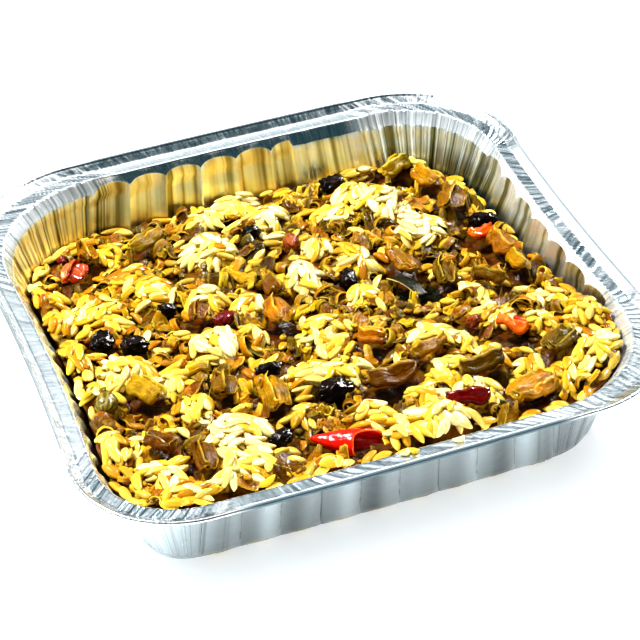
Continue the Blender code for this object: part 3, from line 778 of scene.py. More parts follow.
        # Painted shade in the cracks outside, near the corners.
        shade = 0.5 * self.cracks * self.corner_weight
        for z in OUTER_LEVELS:
            self.add(wall_inset(z) - SKIN, z, self.wall_push(z), -1.0, shade, 0.55 * self.left_end)
        self.add(BASE_INSET - 0.9, 1.6, 0.35 * FLUTE_DEPTH * self.arch, -1.0)
        self.add(BASE_INSET - 0.4, 0.5, 0.2 * FLUTE_DEPTH * self.arch, -1.0)
        self.add(BASE_INSET + 0.8, 0.02)
        self.add(BASE_INSET + 6.0, 0.0)
        self.add(BASE_INSET + 9.0, 0.35)


def rim_cracks(outline, weight):
    """Sharp creases over the corners: strength of the white ridges and of the dark cracks, whose dark is
    painted shade.
    """
    folds = np.random.default_rng(SEED + 1)
    draw = folds.uniform(size=len(outline.turn))
    strength = folds.uniform(0.5, 1.0, len(outline.turn))
    share = np.where(weight > 0.35, CRACK_SHARE, FRONT_CRACK_SHARE * (outline.corner == 2))
    return strength * (draw < share), strength * (draw > 1.0 - share)


def foil_tint(outline, points, kinds, shades):
    """Colour of each point: silver, with painted reflections golden on the inside walls and banded
    outside, darkened by painted shade.
    """
    x, y, z = points.T[:, :, None]
    # Painted reflection of the food on the inside walls, stronger lower down.
    depth = np.clip((WALL_TOP + 0.4 - z) / 14.0, 0.0, 1.0)
    weight = np.clip(kinds, 0.0, 1.0)[:, None] * (0.55 + 0.45 * depth)
    # Paler painted reflection on the right wall, amber near the food elsewhere.
    right = smooth_step(10.0, 90.0, x)
    gold = blend(np.array(GOLD), np.array(RIGHT_WALL), right)
    amber = smooth_step(24.0, 15.0, z) * (1.0 - right)
    gold = blend(gold, np.array(LOW_AMBER), 0.7 * amber)
    # Bluish grey painted reflection on the left wall.
    left = smooth_step(-78.0, -92.0, x) * smooth_step(60.0, 30.0, y)
    gold = blend(gold, np.array(LEFT_WALL), left)
    # Outside: painted bands of reflection, darker towards the bottom and lighter at the left end.
    band = np.array([noise.noise(Vector((place / 9.0, 0.0, 7.0))) for place in outline.along])
    band = np.tile(0.50 + 0.42 * band, len(points) // len(band))[:, None]
    band = np.clip(band * (0.70 + 0.54 * z / WALL_TOP), 0.2, 0.95)
    band = blend(band, 0.96, smooth_step(-60.0, -92.0, x))
    tint = blend(blend(np.array(SILVER), gold, weight), band * np.array(OUTER_CAST), kinds[:, None] < 0)
    # The painted shade of each row darkens the tint.
    return tint * (1.0 - shades[:, None] * np.array(SHADE_CAST))


def make_tray():
    """The whole foil tray as one fine skin, with flat caps inside and under the base."""
    outline = Outline(COLUMNS_CORNER, COLUMNS_SIDE)
    rows = FoilSkin(outline).rows
    count = len(outline.turn)
    points = np.concatenate([row[0] for row in rows])
    kinds, shades, matts = (np.concatenate([np.broadcast_to(row[part], count) for row in rows])
                            for part in (1, 2, 3))
    tray = new_piece("foil_tray_skin", points, loop_faces(len(rows), count), foil_material(), "foil_tray")
    # The tint holds the painted reflections and painted shade of each row.
    paint(tray, "tint", foil_tint(outline, points, kinds, shades))
    # The inside walls' share: rougher there, and carrying the painted streaks.
    paint_grey(tray, "dull_and_painted_shade", np.clip(kinds, 0.0, 1.0))
    paint_grey(tray, "matt", matts)
    layer = tray.data.uv_layers.new(name="around")
    around = np.tile(outline.along, len(rows)) * MM
    travel = np.repeat(np.arange(len(rows)), count) * MM
    loops = np.zeros(len(tray.data.loops), int)
    tray.data.loops.foreach_get("vertex_index", loops)
    layer.data.foreach_set("uv", np.stack([around[loops], travel[loops]], 1).ravel())
    return tray


# Heap

def heap_height(x, y):
    """Height of the bare heap, as in the CAD model."""
    dome = (1.0 - (x / FOOD_HALF[0]) ** 2) * (1.0 - (y / FOOD_HALF[1]) ** 2)
    z = HEAP_LEVEL + HEAP_SLOPE * y + HEAP_DOME * dome
    for clump_x, clump_y, height, spread in CLUMPS:
        away = ((x - clump_x) ** 2 + (y - clump_y) ** 2) / (2.0 * spread ** 2)
        z += height * math.exp(-away)
    return z + BUMP * noise.noise(Vector((x, y, 0.0)) / BUMP_SIZE)


class Surface:
    """The food's top as a grid of heights that grains are dropped on."""

    def __init__(self):
        self.count = int(2 * GRID_HALF / GRID)
        line = (np.arange(self.count) + 0.5) * GRID - GRID_HALF
        self.x, self.y = np.meshgrid(line, line, indexing="ij")
        self.bare = np.array([[heap_height(x, y) for y in line] for x in line])
        self.rice = np.zeros_like(self.bare)
        self.lump = np.zeros_like(self.bare)
        self.clumps = []
        for across, down, radius, light in RICE_CLUMPS:
            x, y = self.under_pixel(across, down)
            self.clumps.append((x, y, radius, light))
            self.raise_clump(x, y, radius, light)
        self.wall = self.wall_heights()
        ring = Outline(16, 16).ring(wall_inset(HEAP_LEVEL) + EDGE_ZONE, 0.0)
        self.edge_zone = ~points_inside(self.x, self.y, ring)
        self.target = self.bare - np.where(self.edge_zone, 0.3, GAP_DEPTH) + self.lump
        self.speck = np.array([[noise.noise(Vector((x, y, 40.0)) / SPECK_SIZE) for y in line]
                               for x in line])
        self.core = self.target - np.where(self.edge_zone, 1.0, GRAIN_COVER)
        self.core = self.core + SPECK_HEIGHT * self.speck
        self.hollow = np.hypot(self.x - HOLLOW[0], self.y - HOLLOW[1]) < HOLLOW[2]
        self.top = self.core.copy()
        self.ceiling = np.full_like(self.top, FAR)
        self.topping = np.zeros_like(self.top, bool)

    def under_pixel(self, across, down):
        """Place on the bare heap that the photograph's camera sees at a pixel."""
        right, lower = np.array(CAMERA_RIGHT), np.array(CAMERA_DOWN)
        ahead = np.cross(right, lower)
        scale = SENSOR / CAMERA_LENS / IMAGE_SIZE
        ray = ahead + right * (across - IMAGE_SIZE / 2) * scale
        ray = ray + lower * (down - IMAGE_SIZE / 2) * scale
        eye = np.array(CAMERA_PLACE)
        z = HEAP_LEVEL
        for _ in range(12):
            spot = eye + ray * (z - eye[2]) / ray[2]
            z = blend(z, heap_height(spot[0], spot[1]), 0.6)
        return spot[0], spot[1]

    def raise_clump(self, x, y, radius, light):
        """Adds the dome of one clump of rice to the pile."""
        away = np.hypot(self.x - x, (self.y - y) * 0.9)
        angle = np.arctan2(self.y - y, self.x - x)
        lobes = 1.0 + 0.16 * np.sin(3 * angle + x) + 0.10 * np.sin(5 * angle + y)
        dome = np.clip(1.0 - (away / (radius * lobes)) ** 2, 0.0, 1.0)
        height = CLUMP_RISE * (0.55 + 0.45 * light) * (radius / 9.0) ** 0.6
        self.lump = np.maximum(self.lump, height * dome ** 0.7)
        # The rice share follows the clump's painted light, and brightens the core under it.
        self.rice = np.maximum(self.rice, (0.35 + 0.65 * light) * smooth_step(0.0, 0.25, dome))

    def wall_heights(self):
        """Height of the tray's inner wall over each cell, below zero where clear of it."""
        levels = np.full_like(self.bare, -10.0)
        outline = Outline(10, 8)
        for z in np.arange(2.0, FLANGE_TOP, 1.0):
            ring = outline.ring(wall_inset(z), z)
            levels = np.where(points_inside(self.x, self.y, ring), levels, z)
        return levels

    def cells(self, x, y):
        i = np.clip(((x + GRID_HALF) / GRID).astype(int), 0, self.count - 1)
        j = np.clip(((y + GRID_HALF) / GRID).astype(int), 0, self.count - 1)
        return i, j

    def stamp(self, points):
        """Marks a topping: its top carries grains, and none may rise through it."""
        i, j = self.cells(points[:, 0], points[:, 1])
        low = np.full_like(self.top, FAR)
        high = np.full_like(self.top, -FAR)
        np.minimum.at(low, (i, j), points[:, 2])
        np.maximum.at(high, (i, j), points[:, 2])
        self.ceiling = np.minimum(self.ceiling, low)
        self.topping |= high > 0
        self.top = np.maximum(self.top, high)

    def pile(self, x, y, z):
        """Raises the top to the given points, as when a grain or scrap lies there."""
        np.maximum.at(self.top, self.cells(x, y), z)


def points_inside(x, y, ring):
    """True for each point inside a closed loop, by counting crossings."""
    inside = np.zeros(x.shape, bool)
    after = np.roll(ring, -1, 0)
    for (x0, y0, _), (x1, y1, _) in zip(ring, after):
        if y0 == y1:
            continue
        crosses = (y0 > y) != (y1 > y)
        inside ^= crosses & (x < (x1 - x0) * (y - y0) / (y1 - y0) + x0)
    return inside


def grain_template():
    """Points and faces of one grain along X, one unit long, wide and high."""
    rows = 7
    around = 8
    points = [(-0.5, 0.0, 0.0)]
    for row in range(rows):
        share = (row + 0.75) / (rows + 0.5)
        x = -0.5 * math.cos(math.pi * share)
        radius = 0.5 * math.sin(math.pi * share) ** 0.8
        for step in range(around):
            angle = 2 * math.pi * step / around
            points.append((x, radius * math.cos(angle), radius * math.sin(angle)))
    points.append((0.5, 0.0, 0.0))
    faces = []
    last = len(points) - 1
    for step in range(around):
        after = (step + 1) % around
        faces.append((0, 1 + after, 1 + step))
        top = 1 + (rows - 1) * around
        faces.append((last, top + step, top + after))
        for row in range(rows - 1):
            a = 1 + row * around
            b = a + around
            faces.append((a + step, a + after, b + after, b + step))
    return np.array(points), faces


def rice_colour(light):
    """Colour of rice for its painted light: deep amber at 0, over strong yellow, to near white at 1."""
    light = np.clip(light, 0.0, 1.0)
    return np.stack([np.interp(light, RICE_STOPS, RICE_COLOURS[:, band]) for band in range(3)], -1)


class Rice:
    """Grains of each kind, dropped one by one on the surface and joined at the end."""

    def __init__(self, surface):
        self.surface = surface
        self.shape, self.faces = grain_template()
        self.around = np.arctan2(self.shape[:, 2], self.shape[:, 1])
        self.girth = 2.0 * np.hypot(self.shape[:, 1], self.shape[:, 2])
        self.kinds = {}

    def drop(self, x, y, angle, kind, light, nose, place):
        """Lays one grain on what is there, unless it doesn't fit."""
        surface = self.surface
        on_topping, sink, rise, dull_and_painted_shade = place
        length = GRAIN_LENGTH * rng.uniform(*LENGTH_RANGE)
        width = GRAIN_WIDTH * rng.uniform(*GIRTH_RANGE)
        height = GRAIN_HEIGHT * rng.uniform(*GIRTH_RANGE)
        cos, sin = math.cos(angle), math.sin(angle)
        along = np.linspace(-0.42, 0.42, 7)[:, None] * length
        across = np.array((-0.32, 0.0, 0.32))[None, :] * width
        px, py = turned(x, y, along, across, cos, sin)
        i, j = surface.cells(px, py)
        covered = surface.topping[i, j].mean()
        if covered > on_topping:
            return
        ground = surface.top[i, j].mean(1)
        line = along[:, 0]
        slope = np.clip(np.polyfit(line, ground, 1)[0] + nose, -STEEPEST, STEEPEST)
        lift = np.max(ground - slope * line) - sink + height / 2
        crown = lift + slope * line + height / 2
        limit = surface.target[i, j].max(1)
        if (crown > limit + rise).any():
            return
        if (surface.wall[i, j].max(1) > crown - 0.45 * height).any():
            return
        if covered <= 0.0 and (surface.ceiling[i, j].min(1) < crown).any():
            return
        axis = unit(np.array((cos, sin, slope)))
        side = np.array((-sin, cos, rng.uniform(-0.35, 0.35)))
        side = unit(side - axis * side.dot(axis))
        up = np.cross(axis, side)
        ridge = 1.0 + 0.13 * np.cos(3.0 * self.around + rng.uniform(0, 6.3))
        local = self.shape * (length, width, height)
        local[:, 1:] *= (ridge * self.girth ** rng.uniform(0.0, 0.9))[:, None]
        local[:, 1] += rng.uniform(-0.9, 0.9) * (2.0 * self.shape[:, 0]) ** 2
        points = np.array((x, y, lift)) + local @ np.stack([axis, side, up])
        cast = min(1.0, rng.uniform() ** 1.5 * dull_and_painted_shade)
        self.kinds.setdefault(kind, []).append((points, light, cast))
        fine_along = np.linspace(-0.48, 0.48, 15)[:, None] * length
        fine_across = np.linspace(-0.45, 0.45, 6)[None, :] * width
        share = (2 * fine_along / length) ** 2 + (2 * fine_across / width) ** 2
        cap = height / 2 * np.sqrt(np.clip(1.0 - share, 0.0, 1.0))
        fx, fy = turned(x, y, fine_along, fine_across, cos, sin)
        fz = np.broadcast_to(lift + slope * fine_along, fx.shape) + cap
        keep = share < 1.0
        surface.pile(fx[keep], fy[keep], fz[keep])

    def join(self, kind, name, material):
        """One mesh of every grain of a kind, painted paler on top and deeper below as painted shade."""
        grains = self.kinds[kind]
        size = len(self.shape)
        points = np.concatenate([grain for grain, _, _ in grains])
        faces = [tuple(index + number * size for index in face)
                 for number in range(len(grains)) for face in self.faces]
        piece = new_piece(name, points, faces, material, "rice_heap")
        i, j = self.surface.cells(points[:, 0], points[:, 1])
        # Painted shade: the deeper a point lies below the pile, the darker.
        depth = np.clip((self.surface.target[i, j] + 0.6 - points[:, 2]) / 4.5, 0.0, 1.0)
        light = np.repeat([light for _, light, _ in grains], size)
        dull_and_painted_shade = np.repeat([dull_and_painted_shade for _, _, dull_and_painted_shade in grains], size)[:, None]
        # Painted light: each grain paler along its sides and at its ends.
        rim = np.tile(np.abs(np.cos(self.around)) + np.abs(2 * self.shape[:, 0]) ** 4, len(grains))
        colour = rice_colour(light * (1.0 - 0.6 * depth) + 0.16 * rim - 0.12)
        # Khaki painted shade, by each grain's share.
        paint(piece, "grain", blend(colour, np.array(KHAKI) * (0.6 + 0.6 * light[:, None]), dull_and_painted_shade))
        return piece


def anywhere(half_length, half_width):
    """A place picked at random over the food."""
    return rng.uniform(-half_length, half_length), rng.uniform(-half_width, half_width)


def scatter_rice(rice):
    """Fills the clumps with grains that lie alike or fan out, then the gaps and the top."""
    surface = rice.surface
    for x, y, radius, light in surface.clumps:
        heading = rng.uniform(0, math.pi)
        fan = rng.uniform() < 0.6
        for number in range(int(CLUMP_TRIES * (radius / 9.0) ** 2)):
            away = radius * 0.95 * math.sqrt(rng.uniform())
            angle = rng.uniform(0, 2 * math.pi)
            px, py = x + away * math.cos(angle), y + away * math.sin(angle)
            outward = fan and away > radius * 0.45
            turn = angle + rng.normal(0, 0.4) if outward else heading + rng.normal(0, 0.6)
            lift = rng.uniform(-0.1, 0.45) if outward else rng.normal(0, 0.2)
            # Painted light: a grain in a clump is as bright as its clump, give or take.
            glow = light * CLUMP_CONTRAST + CLUMP_LEAST + rng.normal(0, CLUMP_SPREAD)
            kind = "pale" if number % 2 else "yellow"
            rice.drop(px, py, turn, kind, glow, lift, IN_CLUMP)
    border = Outline(30, 30)
    for _ in range(EDGE_TRIES):
        column = rng.integers(len(border.turn))
        level = HEAP_LEVEL + HEAP_SLOPE * TRAY_WIDTH / 2 * border.out[column, 1]
        inset = wall_inset(level) + EDGE_ZONE * rng.uniform() ** 2
        x, y, _ = border.ring(inset, 0.0)[column]
        turn = math.atan2(border.out[column, 0], -border.out[column, 1]) + rng.normal(0, 0.45)
        # Painted light at the edge: one of three values by chance.
        glow = rng.choice(EDGE_LIGHTS, p=EDGE_ODDS) + rng.normal(0, LIGHT_SPREAD)
        rice.drop(x, y, turn, "deep", glow, rng.normal(0, 0.15), AT_EDGE)
    for _ in range(GAP_TRIES):
        x, y = anywhere(*FOOD_HALF)
        i, j = surface.cells(np.array(x), np.array(y))
        if surface.rice[i, j] > GAP_RICE or surface.hollow[i, j]:
            continue
        # Painted light in the gaps: one of three lower values, as shade.
        glow = rng.choice(GAP_LIGHTS, p=GAP_ODDS) + rng.normal(0, LIGHT_SPREAD)
        rice.drop(x, y, rng.uniform(0, math.pi), "deep", glow, rng.normal(0, 0.15), IN_GAP)
    for _ in range(LOOSE_TRIES):
        x, y = anywhere(*FOOD_HALF)
        glow = rng.uniform(0.5, 1.0)
        rice.drop(x, y, rng.uniform(0, math.pi), "deep", glow, rng.normal(0, 0.1), LOOSE_ON_TOP)


def rim_crumbs(rice):
    """The crumbs of rice that lie on the front flange."""
    for (x, y), angle, length, light in RIM_CRUMBS:
        across = np.array((-math.sin(angle), math.cos(angle), 0.0))
        along = np.array((math.cos(angle), math.sin(angle), 0.0))
        local = rice.shape * (length, 2.2, 1.6)
        local[:, 1] += 1.2 * (2.0 * rice.shape[:, 0]) ** 2
        points = np.array((x, y, CRUMB_HEIGHT)) + local @ np.stack([along, across, (0.0, 0.0, 1.0)])
        rice.kinds["pale"].append((points, light, 0.0))


def make_core(surface):
    """The body of the heap under the loose grains, with domes of rice and dark gaps, partly painted shade.
    """
    outline = Outline(40, 60)

    def height_at(ring):
        i, j = surface.cells(ring[:, 0], ring[:, 1])
        return surface.core[i, j], surface.rice[i, j] - surface.hollow[i, j]

    base = outline.ring(BASE_INSET + 1.5, 1.2)
    middle = outline.ring(wall_inset(HEAP_LEVEL) + 0.8, 0.0)
    edge = np.clip(height_at(middle)[0], 8.0, HEAP_HIGHEST_EDGE - 2.0)
    rim = outline.ring(wall_inset(edge) + 0.7, edge)
    rows = [base, rim]
    rice = [np.zeros(len(base)), np.full(len(base), 0.28)]
    for share in np.linspace(0.985, 0.01, CORE_RINGS):
        ring = rim * share
        z, here = height_at(ring)
        ring[:, 2] = blend(edge, z, smooth_step(0.99, 0.93, share))
        rows.append(ring)
        # Painted shade: the rice colour fades to the dark near the wall.
        rice.append(here * (1.0 - 0.65 * smooth_step(0.88, 0.97, share)))
    points = np.concatenate(rows)
    faces = loop_faces(len(rows), len(base))
    core = new_piece("heap_core", points, faces, core_material(), "rice_heap")
    share = np.concatenate(rice)[:, None]
    i, j = surface.cells(points[:, 0], points[:, 1])
    # In the gaps maroon and olive, partly the sauce's own colour and partly painted shade; black-green in
    # the hollow is painted shade.
    olive = smooth_step(-0.15, 0.35, surface.speck[i, j])[:, None]
    dark = blend(np.array(MAROON), np.array(OLIVE), olive)
    dark = blend(dark, np.array(BLACK_GREEN), np.clip(-share, 0.0, 1.0))
    # Under the clumps rice colour, brighter under brighter clumps as painted light.
    amber = rice_colour(share[:, 0] * 0.55 + 0.1)
    paint(core, "under", blend(dark, amber, smooth_step(0.25, 0.6, share)))
    return core


# Loose scraps of onion

def thick_sheet(top, thickness, thin_rim=0.5):
    """Closed thin body from a grid of points, thinner along its rim."""
    rows, count = top.shape[:2]
    normal = np.cross(np.gradient(top, axis=0), np.gradient(top, axis=1))
    normal /= np.maximum(np.linalg.norm(normal, axis=2, keepdims=True), 1e-9)
    rim = np.ones((rows, count, 1))
    rim[[0, -1]] = thin_rim
    rim[:, [0, -1]] = thin_rim
    half = normal * thickness / 2 * rim
    points = np.concatenate([(top + half).reshape(-1, 3), (top - half).reshape(-1, 3)])
    total = rows * count
    faces = []
    for i in range(rows - 1):
        for j in range(count - 1):
            a = i * count + j
            quad = (a, a + count, a + count + 1, a + 1)
            faces.append(quad)
            faces.append(tuple(total + k for k in reversed(quad)))
    border = list(range(count))
    border += [i * count + count - 1 for i in range(1, rows)]
    border += [(rows - 1) * count + j for j in reversed(range(count - 1))]
    border += [i * count for i in reversed(range(1, rows - 1))]
    for a, b in zip(border, border[1:] + border[:1]):
        faces.append((a, b, b + total, a + total))
    edge = np.ones((rows, count))
    edge[1:-1, 1:-1] = 0.0
    along = np.linalg.norm(np.diff(top, axis=0), axis=2).sum(0).mean() * np.linspace(0, 1, rows)
    across = np.linalg.norm(np.diff(top, axis=1), axis=2).sum(1).mean() * np.linspace(0, 1, count)
    lie = np.stack([*np.meshgrid(along, across, indexing="ij"), np.full((rows, count), top[0, 0, 0])], 2)
    return points, faces, np.concatenate([edge.ravel()] * 2), np.concatenate([lie.reshape(-1, 3)] * 2)


class Scraps:
    """Thin soft scraps, curls and bits, joined into one mesh with a colour for each."""

    def __init__(self, surface):
        self.surface = surface
        self.points = []
        self.faces = []
        self.colours = []
        self.lies = []
        self.size = 0

    def add(self, points, faces, colours, lie):
        self.faces.extend(tuple(index + self.size for index in face) for face in faces)
        self.points.append(points)
        self.colours.append(colours)
        self.lies.append(lie)
        self.size += len(points)

    def ground(self, x, y):
        """Height of what lies under a grid of points."""
        i, j = self.surface.cells(x, y)
        return self.surface.top[i, j]

    def clear(self, x, y, z):
        """True where a scrap stays inside the wall, off the toppings and below the limit."""
        surface = self.surface
        i, j = surface.cells(x, y)
        if surface.topping[i, j].mean() > SCRAP_ON_TOPPING:
            return False
        if (surface.wall[i, j] > z - 0.8).any():
            return False
        return (z < surface.target[i, j].max() + SCRAP_RISE).all()

    def scrap(self, x, y, length, width, tone):
        """A wrinkled scrap lying over what is there, with its edges turned up."""
        angle = rng.uniform(0, math.pi)
        cos, sin = math.cos(angle), math.sin(angle)
        s, t = np.meshgrid(np.linspace(-1, 1, 9), np.linspace(-1, 1, 8), indexing="ij")
        outline = (1.0 - 0.42 * np.abs(s) ** 2.5) * (1.0 + 0.2 * np.sin(2.3 * s + x))
        u, v = s * length / 2, t * width / 2 * outline
        px, py = turned(x, y, u, v, cos, sin)
        level = self.ground(px, py)
        plane = blend(level, np.mean(level) + 0.4 * (level - level.mean()), 0.7)
        arch = rng.uniform(0.2, 1.5) * (1.0 - t ** 2) + rng.uniform(-0.5, 1.4) * np.abs(t) ** 3
        tilt = rng.normal(0, 0.35) * v + rng.normal(0, 0.15) * u
        folds = 0.35 * np.sin(rng.uniform(2.0, 5.0) * s + rng.uniform(0, 6)) * (0.4 + np.abs(t))
        pz = plane + 0.5 + arch + tilt + folds
        if not self.clear(px, py, pz):
            return
        points, faces, edge, lie = thick_sheet(np.stack([px, py, pz], 2), SCRAP_SKIN)
        self.add(points, faces, onion_colour(tone, edge), lie)
        self.surface.pile(px, py, pz + 0.3)

    def hollow_skin(self):
        """A dark leaf in the hollow, painted black-green as shade, with a thin painted highlight on its
        edge.
        """
        start, middle, end = (np.array(spot) for spot in HOLLOW_EDGE)
        rows, steps = 17, 7
        share = np.linspace(0.0, 1.0, rows)[:, None]
        line = (1 - share) ** 2 * start + 2 * share * (1 - share) * middle + share ** 2 * end
        fall = (np.linspace(0.0, 1.0, steps) ** 2.2)[None, :, None]
        grid = line[:, None, :] + fall * np.array(HOLLOW_FALL)
        grid[..., 2] += 1.2 * np.sin(math.pi * fall[..., 0]) * np.sin(math.pi * share)
        points, faces, _, lie = thick_sheet(grid, HOLLOW_SKIN)
        # Painted highlight along the leaf's first row.
        bright = np.zeros((rows, steps))
        bright[:, 0] = 1.0
        bright = np.concatenate([bright.ravel()] * 2)[:, None]
        self.add(points, faces, blend(np.array(BLACK_GREEN), np.array(HOLLOW_HIGHLIGHT), bright), lie)
        self.surface.pile(grid[..., 0], grid[..., 1], grid[..., 2])

    def curl(self, x, y, radius, width, tone):
        """A ribbon bent round into an arch or most of a ring."""
        sweep = math.radians(rng.uniform(90, 290))
        start = rng.uniform(-0.6, 0.6) + math.pi / 2 - sweep / 2
        angle = np.linspace(start, start + sweep, 15)[:, None]
        across = np.linspace(-0.5, 0.5, 4)[None, :] * width
        heading = rng.uniform(0, 2 * math.pi)
        lean = rng.uniform(-0.9, 0.9)
        axis = np.array((math.cos(heading), math.sin(heading), 0.0))
        side = np.array((-math.sin(heading), math.cos(heading), 0.0))
        upward = np.array((0.0, 0.0, math.cos(lean))) + axis * math.sin(lean)
        axis = np.cross(side, upward)
        reach = radius * (1.0 + 0.22 * np.sin(angle * 1.7 + x))
        grid = (side * (reach * np.cos(angle))[..., None] + upward * (reach * np.sin(angle))[..., None]
                + axis * (across + 0.25 * np.sin(3 * angle))[..., None])
        px, py = x + grid[..., 0], y + grid[..., 1]
        level = self.ground(px, py).mean() - rng.uniform(0.2, 0.9) * radius * 0.6
        pz = level + grid[..., 2] + 0.6
        if not self.clear(px, py, np.maximum(pz, level + 1.0)):
            return
        points, faces, edge, lie = thick_sheet(np.stack([px, py, pz], 2), CURL_SKIN)
        self.add(points, faces, onion_colour(tone, edge), lie)
        self.surface.pile(px, py, pz)

    def bit(self, x, y, size, tone):
        """A small rounded crumb of onion or spice."""
        rings, around = 5, 7
        stretch = np.array((rng.uniform(0.9, 1.7), rng.uniform(0.7, 1.1), rng.uniform(0.5, 0.8)))
        turn = rng.uniform(0, math.pi)
        points = []
        for ring in range(rings + 1):
            polar = math.pi * ring / rings
            for step in range(around):
                angle = 2 * math.pi * step / around
                spot = np.array((math.sin(polar) * math.cos(angle), math.sin(polar) * math.sin(angle),
                                 math.cos(polar)))
                points.append(spot * stretch * size / 2 * (1.0 + 0.12 * math.sin(3 * angle + turn)))
        points = np.array(points)
        cos, sin = math.cos(turn), math.sin(turn)
        points = points @ np.array(((cos, sin, 0.0), (-sin, cos, 0.0), (0.0, 0.0, 1.0)))
        level = self.ground(np.array(x), np.array(y)) + size * 0.15
        points += np.array((x, y, level))
        if not self.clear(points[:, 0], points[:, 1], points[:, 2] + 1.0):
            return
        faces = [(a, d, c, b) for a, b, c, d in globe_faces(rings, around)]
        self.add(points, faces, onion_colour(tone, np.full(len(points), 0.3)), points)

    def join(self, name, material):
        piece = new_piece(name, np.concatenate(self.points), self.faces, material, "rice_heap")
        paint(piece, "own", np.concatenate(self.colours))
        paint(piece, "lie", np.concatenate(self.lies))
        return piece


def onion_colour(tone, edge):
    """Olive to amber, paler along thin edges: partly their own colour, partly a painted highlight."""
    tones = blend(ONION_TONES, AMBER_TONES, rng.uniform() ** 0.8)
    base = np.stack([np.interp(tone * 4.0, range(5), tones[:, band]) for band in range(3)])
    pale = np.array(PALE_EDGE)
    return blend(base[None, :], pale[None, :], 0.75 * edge[:, None] * (0.3 + 0.7 * tone))


def scatter_scraps(scraps):
    """Puts curls, scraps and bits mostly between the clumps of rice."""
    surface = scraps.surface

    def gap_place(limit):
        while True:
            x, y = anywhere(FOOD_HALF[0] - 2.0, FOOD_HALF[1] - 2.0)
            i, j = surface.cells(np.array(x), np.array(y))
            if surface.rice[i, j] < limit and not surface.hollow[i, j]:
                return x, y

    for count, most_rice, lengths, shares, tones in SCRAP_LAYERS:
        for _ in range(count):
            x, y = gap_place(most_rice)
            length = rng.uniform(*lengths)
            scraps.scrap(x, y, length, length * rng.uniform(*shares), rng.uniform(*tones))
    for _ in range(CURLS):
        x, y = gap_place(CURL_RICE)
        scraps.curl(x, y, rng.uniform(*CURL_RADIUS), rng.uniform(*CURL_WIDTH), rng.uniform(*CURL_TONE))
    for _ in range(BITS):
        x, y = gap_place(BIT_RICE)
        scraps.bit(x, y, rng.uniform(*BIT_SIZE), rng.uniform(*BIT_TONE))


# Toppings

def cad_points(node):
    """Points of a CAD node in millimetres."""
    mesh = frame["nodes"][node].data
    points = np.zeros(len(mesh.vertices) * 3)
    mesh.vertices.foreach_get("co", points)
    return points.reshape(-1, 3) / MM


def cad_tree(node):
    """Search tree of a CAD node in millimetres."""
    mesh = frame["nodes"][node].data
    return BVHTree.FromPolygons([v.co / MM for v in mesh.vertices],
                                [tuple(p.vertices) for p in mesh.polygons])


def lie_of(points):
    """Centre, heading, length and width of a flat or round topping."""
    centre = (points.min(0) + points.max(0)) / 2
    flat = points[:, :2] - points[:, :2].mean(0)
    values, vectors = np.linalg.eigh(flat.T @ flat)
    axis = vectors[:, 1]
    cross = np.array((-axis[1], axis[0]))
    along = flat @ axis
    across = flat @ cross
    return centre, axis, along.max() - along.min(), across.max() - across.min()


def make_berry(node, material, depth, ribs):
    """A wrinkled, glossy berry in the place and size of its CAD node, some with pale ribs."""
    cad = cad_points(node)
    centre, axis, length, width = lie_of(cad)
    height = cad[:, 2].max() - cad[:, 2].min()
    rings, around = 26, 36
    cross = np.array((-axis[1], axis[0]))
    points = []
    lit = []
    offset = Vector((centre[0], centre[1], 3.0))
    for ring in range(rings + 1):
        polar = math.pi * ring / rings
        for step in range(around):
            angle = 2 * math.pi * step / around
            spot = Vector((math.cos(polar), math.sin(polar) * math.cos(angle),
                           math.sin(polar) * math.sin(angle)))
            fold = abs(noise.noise(spot * BERRY_CREASES + offset))
            fold += 0.4 * abs(noise.noise(spot * 2.1 * BERRY_CREASES))
            swell = 1.0 + 0.16 * noise.noise(spot * 1.3 + offset) - depth * (1.0 - 2.0 * fold)
            rib = 0.5 + 0.5 * math.cos(ribs * angle + 0.8 * math.sin(3.0 * polar)) if ribs else 0.0
            lit.append(rib ** 3)
            local = spot * swell * 0.5
            flat = axis * local.x * length + cross * local.y * width
            points.append((centre[0] + flat[0], centre[1] + flat[1], centre[2] + local.z * height))
    piece = new_piece(node + "_skin", points, globe_faces(rings, around), material, node)
    if ribs:
        paint_grey(piece, "lit", lit)
    return piece, np.array(points)


